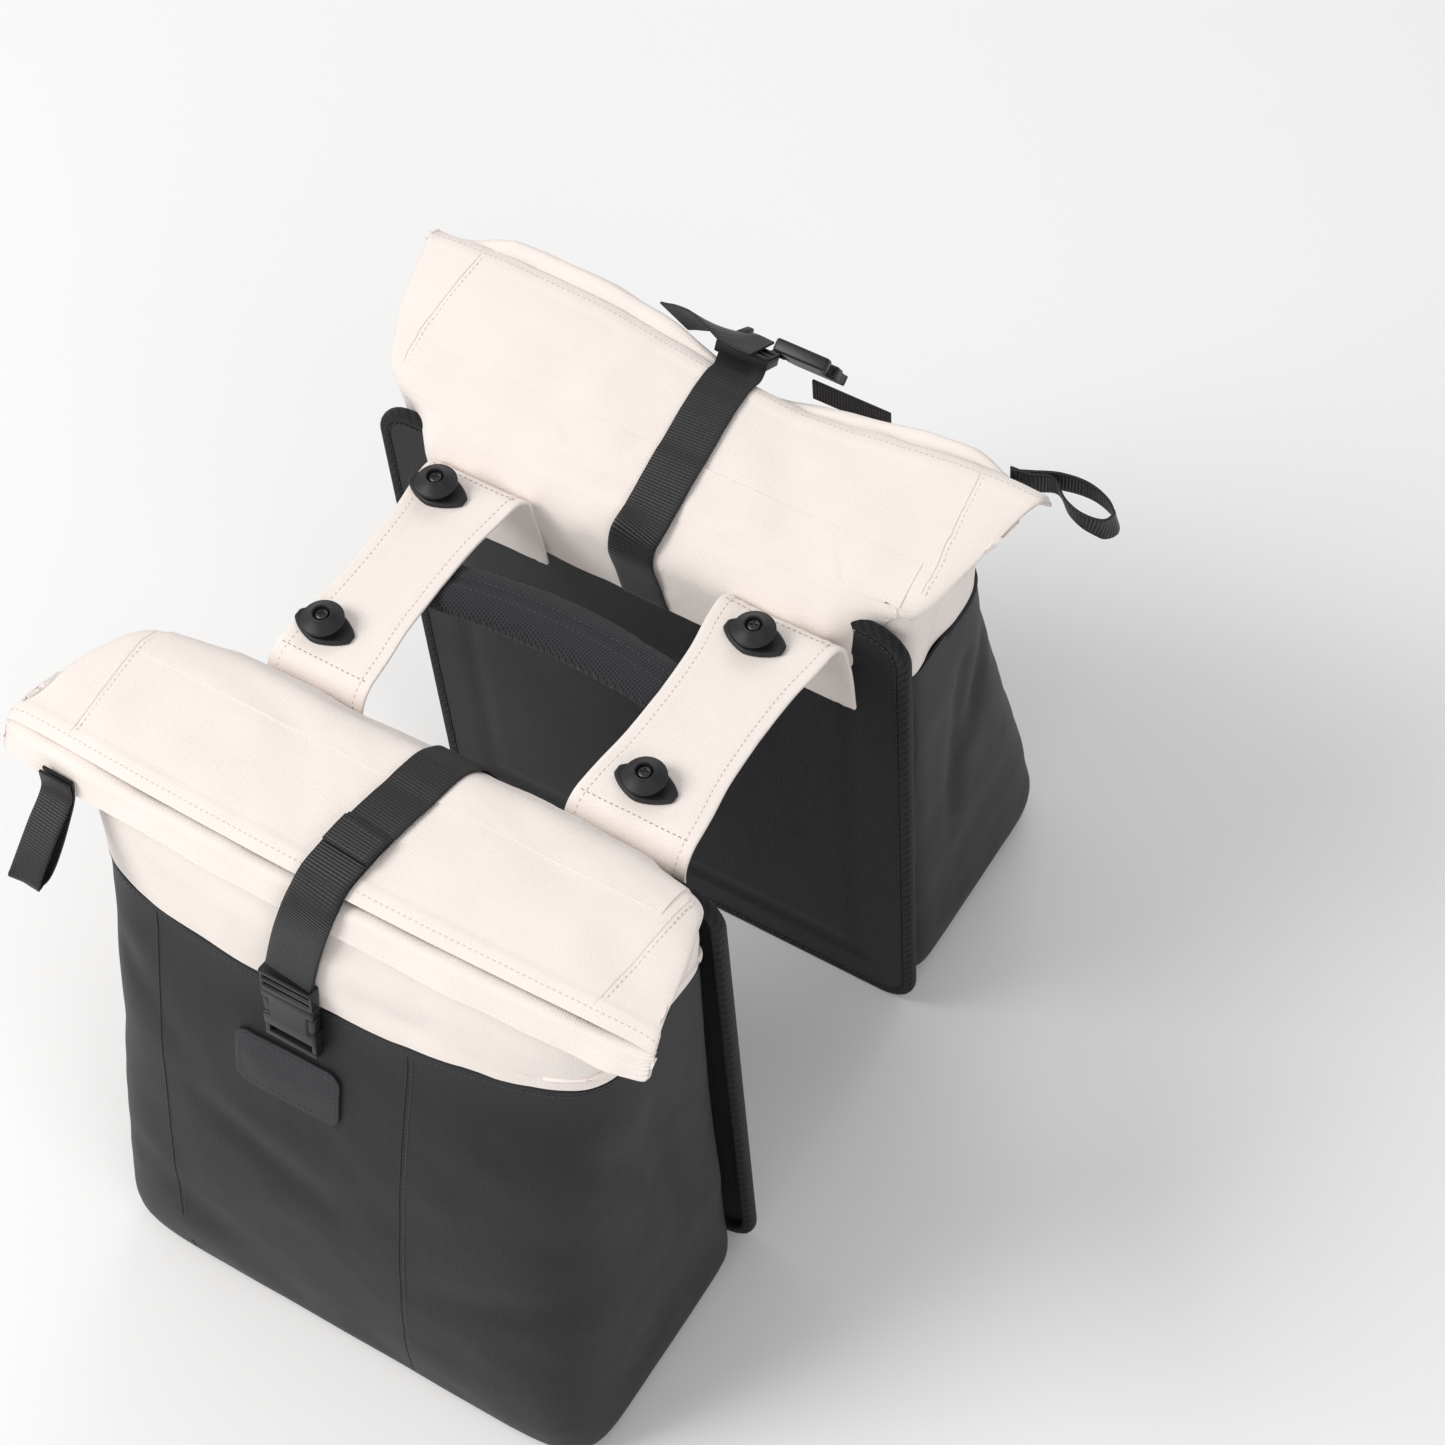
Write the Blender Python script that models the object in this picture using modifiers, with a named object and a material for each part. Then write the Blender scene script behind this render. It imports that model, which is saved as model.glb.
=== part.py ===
"""Double bicycle pannier: two roll-top bags joined by two flaps that lie over a luggage rack.

Metres, +Z up. The bags stand on the floor, one on each side of the rack gap, with their fronts
facing -Y and +Y. Every bag piece is modelled for the right-hand bag, at -Y, where u is X and v is
the distance outwards from the middle of the rack. The left-hand bag is the same model turned
half a turn about Z. The origin is on the floor, below the middle of the whole.
"""

import math

import bmesh
import bpy
from mathutils import Matrix, Vector

# Bag body
BAG_WIDTH = 0.344
BAG_DEPTH = 0.178
PANEL_TOP = 0.390
COLOUR_SEAM_HEIGHT = 0.313
FABRIC = 0.0018
GAP = 0.0003

# Folded mouth of the roll-top
MOUTH_WIDTH = 0.410
FOLD_REACH = 0.101
FOLD_RISE = 0.036
MOUTH_BOW = 0.005
# How deep each bag's fold is pulled down by its strap, and where and how wide that hollow is.
SAG = {"right": 0.0, "left": 0.012}
SAG_MIDDLE = -0.040
SAG_RADIUS = 0.100

# Stiff back panel and its bound edge
RACK_GAP = 0.186
BOARD_THICKNESS = 0.004
BINDING_THICKNESS = 0.008
BINDING_WIDTH = 0.356
BOARD_CORNER = 0.024

# Flaps over the rack
FLAP_THICKNESS = 0.0024
FLAP_RISE = 0.0042
FLAP_DROP = 0.075
FLAP_BEND = 0.016
REAR_FLAP_X = -0.092
REAR_FLAP_WIDTH = 0.064
FRONT_FLAP_X = 0.110
FRONT_FLAP_WIDTH = 0.076

# Fasteners on the flaps
FASTENER_SPREAD = 0.210
FASTENER_GAUGE = 0.110
PLATE_THICKNESS = 0.003
PLATE_LENGTH = 0.040
PLATE_WIDTH = 0.024
KNOB_DIAMETER = 0.0245
KNOB_HEIGHT = 0.0105
SCREW_DIAMETER = 0.0075

# Webbing and buckles
STRAP_WIDTH = 0.030
WEBBING = 0.0015
LOOP_WIDTH = 0.020
BUCKLE_WIDTH = 0.037
BUCKLE_THICKNESS = 0.008
SOCKET_LENGTH = 0.040
INSERT_LENGTH = 0.016
PATCH_WIDTH = 0.070
PATCH_HEIGHT = 0.040
PATCH_MIDDLE = 0.268
PATCH_THICKNESS = 0.0016
RIGHT_BUCKLE_TOP = 0.352
RIGHT_STRAP_U = (0.015, -0.014)
LEFT_STRAP_U = (0.005, -0.002)

# Carry handle under the flaps
HANDLE_WIDTH = 0.042
HANDLE_THICKNESS = 0.013
HANDLE_MIDDLE_Y = 0.004

SHELL_BACK = RACK_GAP / 2 + BINDING_THICKNESS + GAP
FLAP_TOP = PANEL_TOP + FLAP_RISE
SEAT = WEBBING / 2 + 0.0006
RING_STEPS = 32

# Body sections from the floor up: height as a share of PANEL_TOP, how far the front stands out and
# how far the back is drawn in as shares of BAG_DEPTH, width as a share of BAG_WIDTH, and the
# squareness of the front and back corners.
BODY_ROWS = (
    # height, front, back, width, front_square, back_square
    (0.000, 0.930, 0.050, 0.940, 8.0, 6.0),
    (0.010, 0.975, 0.014, 0.980, 9.0, 7.0),
    (0.040, 0.998, 0.000, 1.000, 10.0, 8.0),
    (0.140, 1.000, 0.000, 1.000, 8.0, 8.0),
    (0.280, 0.970, 0.000, 1.000, 6.0, 8.0),
    (0.460, 0.910, 0.000, 0.995, 4.6, 8.0),
    (0.650, 0.820, 0.000, 0.995, 4.2, 8.0),
    (0.800, 0.725, 0.000, 1.000, 4.0, 8.0),
    (0.900, 0.690, 0.000, 1.004, 4.0, 8.0),
    (0.955, 0.678, 0.000, 1.008, 4.0, 8.0),
)
SIDE_FOLD = 0.35

# Sections of the folded top. Back layer: how far out and up, as shares of FOLD_REACH and FOLD_RISE
# from the top of the panel. Front layer: the same, as it rises, turns over and hangs down. Spread is
# 0 at BAG_WIDTH and 1 at MOUTH_WIDTH. Side tells where the gusset folds between the two layers.
ROLL_ROWS = (
    # back_out, back_up, front_out, front_up, spread, front_square, back_square, side
    (0.000, 0.05, 1.125, -0.05, 0.08, 4.2, 8.0, 0.36),
    (0.012, 0.45, 1.100, 0.20, 0.20, 4.6, 8.0, 0.38),
    (0.070, 0.72, 1.070, 0.38, 0.34, 5.0, 8.0, 0.40),
    (0.200, 0.86, 1.045, 0.50, 0.48, 5.5, 8.0, 0.42),
    (0.400, 0.95, 1.025, 0.58, 0.64, 6.0, 9.0, 0.44),
    (0.620, 1.00, 1.010, 0.64, 0.78, 7.0, 9.0, 0.46),
    (0.800, 1.01, 1.008, 0.68, 0.88, 8.0, 10.0, 0.48),
    (0.920, 1.00, 1.035, 0.70, 0.95, 8.0, 12.0, 0.50),
    (0.980, 0.97, 1.070, 0.62, 0.98, 7.0, 14.0, 0.50),
    (1.030, 0.90, 1.130, 0.25, 1.00, 6.0, 16.0, 0.45),
)

# Soft dents: across as a share of BAG_WIDTH, height as a share of PANEL_TOP, radius and depth as
# shares of BAG_DEPTH.
DENTS = (
    # across, height, radius, depth
    (-0.30, 0.86, 0.42, 0.030),
    (0.36, 0.84, 0.40, 0.034),
    (0.02, 0.72, 0.34, 0.020),
    (-0.38, 0.55, 0.50, 0.022),
    (0.30, 0.42, 0.55, 0.018),
)

# Outline of a flap: distance from the middle as a share of half the rack gap, and width as a share
# of the flap's full width.
FLAP_ROWS = (
    # out, width
    (0.00, 0.84),
    (0.35, 0.87),
    (0.60, 0.95),
    (0.85, 1.00),
    (1.00, 1.02),
)

# Turned outline of a fastener knob from its top ring down: radius as a share of half its diameter,
# height as a share of its own height.
KNOB_PROFILE = (
    # radius, height
    (0.36, 0.70),
    (0.38, 0.98),
    (0.46, 1.00),
    (0.50, 0.92),
    (0.98, 0.58),
    (1.00, 0.50),
    (0.97, 0.42),
    (0.72, 0.40),
    (0.70, 0.00),
)

# Pull loop of the right-hand bag, which hangs: across as a share of MOUTH_WIDTH, out and up from the
# hem of the front layer as shares of LOOP_REACH.
LOOP_REACH = 0.085
HANGING_LOOP = (
    # across, out, up
    (-0.398, -0.006, 0.150),
    (-0.400, 0.016, -0.010),
    (-0.405, 0.110, -0.200),
    (-0.412, 0.220, -0.400),
    (-0.420, 0.320, -0.560),
    (-0.424, 0.385, -0.600),
    (-0.421, 0.450, -0.565),
    (-0.413, 0.370, -0.400),
    (-0.406, 0.220, -0.200),
    (-0.400, 0.052, -0.008),
    (-0.398, 0.030, 0.152),
)
# Pull loop of the left-hand bag, which sticks out sideways past the end of the mouth.
SIDEWAYS_LOOP = (
    # across, out, up
    (-0.430, -0.006, 0.120),
    (-0.460, 0.062, 0.120),
    (-0.495, 0.132, 0.125),
    (-0.535, 0.162, 0.110),
    (-0.570, 0.122, 0.085),
    (-0.586, 0.042, 0.075),
    (-0.578, -0.048, 0.085),
    (-0.550, -0.078, 0.110),
    (-0.522, -0.038, 0.125),
    (-0.490, 0.082, 0.125),
    (-0.460, 0.034, 0.125),
    (-0.430, 0.028, 0.120),
)

# The two halves of the left-hand buckle, insert first, from the hem: across, out and up as shares of
# BUCKLE_WIDTH, and how far each leans outwards, in degrees.
LEFT_BUCKLE = (
    # across, out, up, lean
    (-0.03, 0.09, 0.66, 60),
    (-0.98, 0.34, 0.98, 30),
)
# Spare end of the left-hand strap, from its buckle: along, out and up as shares of STRAP_WIDTH, and
# the direction of its width as it twists.
LOOSE_TAIL = (
    # along, out, up, y, z
    (-0.30, 0.00, 0.00, -0.87, -0.50),
    (0.25, 0.01, 0.00, -0.87, -0.50),
    (0.70, 0.10, 0.00, -0.78, -0.62),
    (1.20, 0.22, 0.00, -0.62, -0.78),
    (1.60, 0.27, -0.08, -0.50, -0.87),
    (1.95, 0.29, -0.18, -0.42, -0.91),
)


def material(name, color, roughness):
    made = bpy.data.materials.new(name)
    made.use_nodes = True
    shader = made.node_tree.nodes["Principled BSDF"]
    shader.inputs["Base Color"].default_value = (*color, 1.0)
    shader.inputs["Roughness"].default_value = roughness
    made.diffuse_color = (*color, 1.0)
    return made


def add_object(name, data, finish, parent):
    data.materials.append(finish)
    made = bpy.data.objects.new(name, data)
    pannier.objects.link(made)
    made.parent = parent
    return made


def mesh_from(bm, name):
    mesh = bpy.data.meshes.new(name)
    bm.to_mesh(mesh)
    bm.free()
    mesh.shade_smooth()
    mesh.set_sharp_from_angle(angle=math.radians(40))
    return mesh


def add_modifier(obj, kind, **settings):
    modifier = obj.modifiers.new(kind.title(), kind)
    for key, value in settings.items():
        setattr(modifier, key, value)
    return modifier


def lerp(a, b, share):
    return a + (b - a) * share


def read_row(rows, key):
    """The row whose first column is this value, interpolated between its neighbours."""
    for low, high in zip(rows, rows[1:]):
        if key <= high[0]:
            share = (key - low[0]) / (high[0] - low[0])
            return [lerp(a, b, share) for a, b in zip(low, high)]
    return list(rows[-1])


def squircle(angle, square):
    """A point of the unit superellipse in this direction."""
    c, s = math.cos(angle), math.sin(angle)
    reach = (abs(c) ** square + abs(s) ** square) ** (-1 / square)
    return reach * c, reach * s


def dent(u, z):
    """How far the fabric is pushed in at this point of the body's front."""
    pushed = 0.0
    for across, height, radius, depth in DENTS:
        away = math.hypot(u - across * BAG_WIDTH, z - height * PANEL_TOP)
        pushed += depth * BAG_DEPTH * math.exp(-((away / (radius * BAG_DEPTH)) ** 2))
    return pushed


def body_section(z):
    """Front and back distance, half width and corner squareness of the body at one height."""
    _, front, back, width, front_square, back_square = read_row(BODY_ROWS, z / PANEL_TOP)
    front_v = SHELL_BACK + front * BAG_DEPTH
    back_v = SHELL_BACK + back * BAG_DEPTH
    return front_v, back_v, width * BAG_WIDTH / 2, front_square, back_square


def front_at(u, z):
    """How far out the front of the body stands at this point."""
    front_v, back_v, half, square, _ = body_section(z)
    side_v = lerp(back_v, front_v, SIDE_FOLD)
    share = (1 - min(abs(u) / half, 0.999) ** square) ** (1 / square)
    return lerp(side_v, front_v, share) - dent(u, z) * share


def body_point(angle, z):
    front_v, back_v, half, front_square, back_square = body_section(z)
    side_v = lerp(back_v, front_v, SIDE_FOLD)
    if math.sin(angle) > 0:
        across, share = squircle(angle, back_square)
        return Vector((across * half, -lerp(side_v, back_v, share), z))
    across, share = squircle(angle, front_square)
    v = lerp(side_v, front_v, -share) + dent(across * half, z) * share
    return Vector((across * half, -v, z))


def sunk(point, spread, sag, front_layer):
    """A point of the fold, bowed in at the mouth's ends and pulled down by the strap."""
    share = max(0.0, spread - ROLL_ROWS[2][4]) / (1 - ROLL_ROWS[2][4])
    if front_layer:
        share = lerp(0.7, 1.0, share)
    hollow = math.exp(-(((point.x - SAG_MIDDLE) / SAG_RADIUS) ** 2))
    point.y += share * (MOUTH_BOW * (2 * point.x / MOUTH_WIDTH) ** 2 + 0.8 * sag * hollow)
    point.z -= share * sag * hollow
    return point


def roll_point(angle, row, sag):
    back_out, back_up, front_out, front_up, spread, front_square, back_square, side = row
    towards_back = math.sin(angle) > 0
    across, share = squircle(angle, back_square if towards_back else front_square)
    u = across * lerp(BAG_WIDTH, MOUTH_WIDTH, spread) / 2
    back = Vector((u, -SHELL_BACK - back_out * FOLD_REACH, PANEL_TOP + back_up * FOLD_RISE))
    front = Vector((u, -SHELL_BACK - front_out * FOLD_REACH, PANEL_TOP + front_up * FOLD_RISE))
    back, front = sunk(back, spread, sag, False), sunk(front, spread, sag, True)
    return back.lerp(front, side).lerp(back if towards_back else front, abs(share))


def seam_height(angle):
    """The seam between the two fabrics dips a little in the middle of the front."""
    return COLOUR_SEAM_HEIGHT + 0.010 * PANEL_TOP * math.sin(angle)


RING_ANGLES = [math.tau * step / RING_STEPS for step in range(RING_STEPS)]


def loft(rings, closed_bottom=False):
    """A tube through rings of points that run anticlockwise seen from above."""
    bm = bmesh.new()
    loops = [[bm.verts.new(point) for point in ring] for ring in rings]
    for low, high in zip(loops, loops[1:]):
        for i in range(len(low)):
            j = (i + 1) % len(low)
            bm.faces.new((low[i], low[j], high[j], high[i]))
    if closed_bottom:
        bm.faces.new(reversed(loops[0]))
    return bm


def add_wall(obj, thickness=FABRIC, offset=-1.0):
    add_modifier(obj, "SOLIDIFY", thickness=thickness, offset=offset, use_even_offset=True)


def lower_shell(side, bag):
    """Coated lower body: closed at the floor, open at the colour seam."""
    below_seam = 0.92 * COLOUR_SEAM_HEIGHT
    heights = [row[0] * PANEL_TOP for row in BODY_ROWS if row[0] * PANEL_TOP < below_seam]
    rings = [[body_point(angle, z) for angle in RING_ANGLES] for z in heights]
    rings.append([body_point(angle, seam_height(angle)) for angle in RING_ANGLES])
    mesh = mesh_from(loft(rings, True), "lower_shell")
    add_wall(add_object(f"{side}_lower_shell", mesh, COATED, bag))


def upper_shell(side, bag):
    """Canvas upper body: up from the colour seam, over the top and out to the folded mouth."""
    rings = [[body_point(angle, seam_height(angle) + GAP) for angle in RING_ANGLES]]
    for height, *_ in BODY_ROWS[-2:]:
        rings.append([body_point(angle, height * PANEL_TOP) for angle in RING_ANGLES])
    for row in ROLL_ROWS:
        rings.append([roll_point(angle, row, SAG[side]) for angle in RING_ANGLES])
    add_wall(add_object(f"{side}_upper_shell", mesh_from(loft(rings), "upper_shell"), CANVAS, bag))


def rounded_rectangle(half_width, low, high, radius, steps=5):
    """Points (u, z) of a rounded rectangle, from its lower right corner round by the top."""
    corners = (
        (half_width - radius, low + radius, -90),
        (half_width - radius, high - radius, 0),
        (radius - half_width, high - radius, 90),
        (radius - half_width, low + radius, 180),
    )
    points = []
    for u, z, turn in corners:
        for step in range(steps + 1):
            angle = math.radians(turn + 90 * step / steps)
            points.append((u + radius * math.cos(angle), z + radius * math.sin(angle)))
    return points


def extruded(outline, depth):
    """A closed plate: its outline's points moved along depth."""
    bm = bmesh.new()
    face = bm.faces.new([bm.verts.new(point) for point in outline])
    moved = bmesh.ops.extrude_face_region(bm, geom=[face])
    for vert in (item for item in moved["geom"] if isinstance(item, bmesh.types.BMVert)):
        vert.co += depth
    bmesh.ops.recalc_face_normals(bm, faces=bm.faces)
    return bm


def back_panel(side, bag):
    inset = BINDING_THICKNESS + GAP
    outline = rounded_rectangle(
        BINDING_WIDTH / 2 - inset, inset, PANEL_TOP - inset, BOARD_CORNER - inset
    )
    points = [Vector((u, -RACK_GAP / 2, z)) for u, z in outline]
    board = extruded(points, Vector((0, -BOARD_THICKNESS, 0)))
    add_object(f"{side}_back_panel", mesh_from(board, "back_panel"), COATED, bag)


def edge_binding(side, bag):
    """Folded tape round the edge of the back panel, as one closed ring."""
    half = BINDING_THICKNESS / 2
    outline = rounded_rectangle(BINDING_WIDTH / 2 - half, half, PANEL_TOP - half, BOARD_CORNER - half)
    curve = bpy.data.curves.new("edge_binding", "CURVE")
    curve.dimensions = "3D"
    spline = curve.splines.new("POLY")
    spline.points.add(len(outline) - 1)
    for point, (u, z) in zip(spline.points, outline):
        point.co = (u, -RACK_GAP / 2 - half, z, 1)
    spline.use_cyclic_u = True
    curve.bevel_depth = half
    curve.bevel_resolution = 1
    add_object(f"{side}_edge_binding", curve, TAPE, bag)


def ribbon(path, width, across):
    """An open strip along points (u, v, z); across gives its width direction at each point."""
    bm = bmesh.new()
    pairs = []
    for (u, v, z), direction in zip(path, across):
        half = Vector(direction).normalized() * (width / 2)
        middle = Vector((u, -v, z))
        pairs.append((bm.verts.new(middle - half), bm.verts.new(middle + half)))
    for (a, b), (c, d) in zip(pairs, pairs[1:]):
        bm.faces.new((a, b, d, c))
    return bm


def add_webbing(name, path, bag, width=STRAP_WIDTH, across=None):
    strip = ribbon(path, width, across or [(1, 0, 0)] * len(path))
    add_wall(add_object(name, mesh_from(strip, "webbing"), WEB, bag), WEBBING, 0.0)


def offset_line(points, distance):
    """Points (v, z) moved off a surface that they follow from the back to the front."""
    moved = []
    for i, (v, z) in enumerate(points):
        before = points[max(i - 1, 0)]
        after = points[min(i + 1, len(points) - 1)]
        along = Vector((after[0] - before[0], after[1] - before[1])).normalized()
        moved.append((v - along.y * distance, z + along.x * distance))
    return moved


def fold_line(out_column, u, sag):
    """One layer of the folded top at this u, as (v, z): column 0 is the back layer, 2 the front."""
    line = []
    for row in ROLL_ROWS:
        out, up = row[out_column] * FOLD_REACH, row[out_column + 1] * FOLD_RISE
        point = sunk(Vector((u, -SHELL_BACK - out, PANEL_TOP + up)), row[4], sag, out_column > 0)
        line.append((-point.y, point.z))
    return line


def front_frame(u, top, length):
    """A frame on the front of the body: its origin at the top, its Y down the fabric, its Z out."""
    high = Vector((u, -front_at(u, top), top))
    low_z = top - length
    return hanging_frame(high, Vector((u, -front_at(u, low_z), low_z)) - high)


def hanging_frame(place, down):
    across = Vector((-1, 0, 0))
    down = down.normalized()
    return Matrix.LocRotScale(place, Matrix((across, down, across.cross(down))).transposed(), None)


def strap(side, bag, start_u, end_u, drift, past_hem, end):
    """Closure strap: from the top ridge over the folded mouth, past the hem, to its buckle.

    It runs from start_u to end_u, and the larger drift is, the later it leaves start_u.
    """
    over = offset_line(fold_line(0, end_u + STRAP_WIDTH / 2, SAG[side]), SEAT)
    over[0] = (SHELL_BACK - SEAT, PANEL_TOP + 2 * GAP)
    over += past_hem + [(-end.y, end.z)]
    total = sum(math.dist(a, b) for a, b in zip(over, over[1:]))
    walked = 0.0
    path = []
    for i, (v, z) in enumerate(over):
        if i:
            walked += math.dist(over[i - 1], over[i])
        path.append((lerp(start_u, end_u, (walked / total) ** drift), v, z))
    add_webbing(f"{side}_strap", path, bag)
    return path


def buckle_part(name, bag, frame, length):
    """Half a buckle in its own frame: from the top down along Y, centred across it."""
    bm = bmesh.new()
    bmesh.ops.create_cube(bm, size=1.0)
    size = Matrix.Diagonal((BUCKLE_WIDTH, length, BUCKLE_THICKNESS, 1))
    place = Matrix.Translation((0, length / 2, 0))
    bmesh.ops.transform(bm, matrix=frame @ place @ size, verts=bm.verts)
    obj = add_object(name, mesh_from(bm, "buckle"), PLASTIC, bag)
    add_modifier(obj, "BEVEL", width=0.0022, segments=2)


def hanging_closure(bag):
    """The right-hand strap, pulled tight down the front to a buckle above the patch."""
    middle, lift = RIGHT_STRAP_U[1], BUCKLE_THICKNESS / 2 + 0.0012
    frame = front_frame(middle, RIGHT_BUCKLE_TOP, INSERT_LENGTH + SOCKET_LENGTH)
    frame = frame @ Matrix.Translation((0, 0, lift))
    clear = FABRIC + SEAT
    past_hem = [(v + clear, z + clear / 2) for v, z in fold_line(2, middle, SAG["right"])[-2:]]
    path = strap("right", bag, *RIGHT_STRAP_U, 2.4, past_hem, frame @ Vector((0, -4 * GAP, 0)))
    below = Matrix.Translation((0, INSERT_LENGTH + GAP, 0))
    buckle_part("right_buckle_insert", bag, frame, INSERT_LENGTH)
    buckle_part("right_buckle_socket", bag, frame @ below, SOCKET_LENGTH)
    tab_top = frame @ below @ Vector((0, SOCKET_LENGTH + GAP, 0))
    patch_top = PATCH_MIDDLE + PATCH_HEIGHT / 2
    tab = []
    for step in range(4):
        z = lerp(tab_top.z, patch_top + GAP, step / 3)
        tab.append((middle, front_at(middle, z) + lerp(lift, SEAT, step / 3), z))
    add_webbing("right_buckle_tab", tab, bag)
    return path


def slack_closure(bag):
    """The left-hand strap, slack, with the two halves of its buckle side by side at the hem."""
    hem_v, hem_z = fold_line(2, LEFT_STRAP_U[1], SAG["left"])[-1]
    frames = []
    for across, out, up, lean in LEFT_BUCKLE:
        place = Vector((0, -hem_v, hem_z)) + Vector((across, -out, up)) * BUCKLE_WIDTH
        angle = math.radians(lean)
        frames.append(hanging_frame(place, Vector((0, -math.sin(angle), -math.cos(angle)))))
    insert, socket = frames
    path = strap("left", bag, *LEFT_STRAP_U, 1.0, [], insert @ Vector((0, -4 * GAP, 0)))
    buckle_part("left_buckle_insert", bag, insert, INSERT_LENGTH)
    buckle_part("left_buckle_socket", bag, socket, SOCKET_LENGTH)
    start = socket @ Vector((BUCKLE_WIDTH / 2 + 3 * GAP, 0.5 * SOCKET_LENGTH, 0))
    end_u = start.x - SOCKET_LENGTH
    end_v, end_z = fold_line(2, end_u, SAG["left"])[-1]
    tab = []
    for step in range(4):
        share = step / 3
        v = lerp(-start.y, end_v + 1.8 * SEAT, share)
        tab.append((lerp(start.x, end_u, share), v, lerp(start.z, end_z + LOOP_WIDTH / 2, share)))
    add_webbing("left_buckle_tab", tab, bag, LOOP_WIDTH, [(0, 0, 1)] * 4)
    return insert


def patch(side, bag, middle):
    """Smooth rectangular patch sewn on the front below the buckle, left bare."""
    bm = bmesh.new()
    columns, rows = 6, 3
    grid = []
    for row in range(rows + 1):
        z = PATCH_MIDDLE + PATCH_HEIGHT * (row / rows - 0.5)
        line = []
        for column in range(columns + 1):
            u = middle + PATCH_WIDTH * (column / columns - 0.5)
            line.append(bm.verts.new((u, -front_at(u, z) - PATCH_THICKNESS / 2 - 0.0007, z)))
        grid.append(line)
    for low, high in zip(grid, grid[1:]):
        for i in range(columns):
            bm.faces.new((low[i], low[i + 1], high[i + 1], high[i]))
    add_wall(add_object(f"{side}_patch", mesh_from(bm, "patch"), PATCH, bag), PATCH_THICKNESS, 0.0)


def strap_tail(bag, strap_path):
    """The right-hand strap's spare end, which runs back up along it and ends on the top."""
    middle = [(v, z) for _, v, z in strap_path[5:-1]]
    lifted = offset_line(middle, WEBBING + GAP)
    path = [(u, v, z) for (u, _, _), (v, z) in zip(strap_path[5:-1], lifted)]
    add_webbing("right_strap_tail", path, bag)


def loose_tail(bag, buckle):
    """The left-hand strap's spare end, which springs off the buckle and curls to one side."""
    root = buckle @ Vector((0, INSERT_LENGTH / 2, BUCKLE_THICKNESS / 2 + WEBBING / 2 + 3 * GAP))
    path, across = [], []
    for along, out, up, y, z in LOOSE_TAIL:
        path.append(
            (root.x + along * STRAP_WIDTH, -root.y + out * STRAP_WIDTH, root.z + up * STRAP_WIDTH)
        )
        across.append((0, y, z))
    add_webbing("left_strap_tail", path, bag, across=across)


def pull_loop(side, bag, rows, across):
    hem_v, hem_z = fold_line(2, rows[0][0] * MOUTH_WIDTH, SAG[side])[-1]
    base_v = hem_v + SEAT
    path = [
        (u * MOUTH_WIDTH, base_v + out * LOOP_REACH, hem_z + up * LOOP_REACH) for u, out, up in rows
    ]
    add_webbing(f"{side}_pull_loop", path, bag, LOOP_WIDTH, across)


def flap(name, middle_x, full_width):
    """Canvas flap over the rack, bent down at both ends onto the back panels."""
    out = RACK_GAP / 2 - GAP - FLAP_THICKNESS / 2
    top = FLAP_TOP - FLAP_THICKNESS / 2
    half = [(0.0, top)]
    half += [(share * (out - FLAP_BEND), top) for share in (0.35, 0.70, 1.0)]
    for step in range(1, 5):
        angle = math.radians(90 - 22.5 * step)
        half.append(
            (out - FLAP_BEND * (1 - math.cos(angle)), top - FLAP_BEND * (1 - math.sin(angle)))
        )
    half.append((out, top - FLAP_DROP))
    line = [(-y, z) for y, z in reversed(half[1:])] + half
    bm = bmesh.new()
    pairs = []
    for y, z in line:
        width = read_row(FLAP_ROWS, abs(y) / (RACK_GAP / 2))[1] * full_width
        pairs.append([bm.verts.new((middle_x + side * width / 2, y, z)) for side in (-1, 1)])
    for (a, b), (c, d) in zip(pairs, pairs[1:]):
        bm.faces.new((a, b, d, c))
    add_wall(add_object(name, mesh_from(bm, "flap"), CANVAS, whole), FLAP_THICKNESS, 0.0)


def plate_outline():
    """A lens with clipped points: (x, y) of the fastener's base plate."""
    half_length, half_width = PLATE_LENGTH / 2, PLATE_WIDTH / 2
    tip = 0.30 * half_width
    outline = []
    for turn in (1, -1):
        outline.append((turn * half_length, -turn * tip))
        outline.append((turn * half_length, turn * tip))
        for step in range(1, 6):
            share = math.cos(math.pi * step / 6)
            outline.append((turn * 0.82 * half_length * share, turn * half_width * (1 - 0.3 * share**2)))
    return outline


def fastener(name, x, y):
    """Base plate, conical knob and sunk screw that clamp a flap to the rack."""
    base = FLAP_TOP + GAP
    outline = [Vector((x + u, y + v, base)) for u, v in plate_outline()]
    plate = extruded(outline, Vector((0, 0, PLATE_THICKNESS)))
    add_object(f"{name}_plate", mesh_from(plate, "plate"), PLASTIC, whole)

    foot = base + PLATE_THICKNESS + GAP
    knob_profile = [(r * KNOB_DIAMETER / 2, h * KNOB_HEIGHT) for r, h in KNOB_PROFILE]
    floor_height = knob_profile[0][1]
    turned(f"{name}_knob", [(0.0, floor_height)] + knob_profile + [(0.0, 0.0)], (x, y, foot), PLASTIC)

    radius = SCREW_DIAMETER / 2
    head = [(0.0, 0.0011), (0.30 * radius, 0.0011), (0.38 * radius, 0.0022)]
    head += [(0.85 * radius, 0.0019), (radius, 0.0010), (radius, 0.0), (0.0, 0.0)]
    turned(f"{name}_screw", head, (x, y, foot + floor_height + GAP), STEEL, 12)


def turned(name, profile, location, finish, steps=20):
    """A profile of (radius, height) points, top to bottom, turned about Z."""
    bm = bmesh.new()
    verts = [bm.verts.new((r, 0, h)) for r, h in profile]
    for a, b in zip(verts, verts[1:]):
        bm.edges.new((a, b))
    obj = add_object(name, mesh_from(bm, "turned"), finish, whole)
    obj.location = location
    add_modifier(
        obj, "SCREW", steps=steps, render_steps=steps, use_merge_vertices=True, merge_threshold=1e-5
    )


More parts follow.
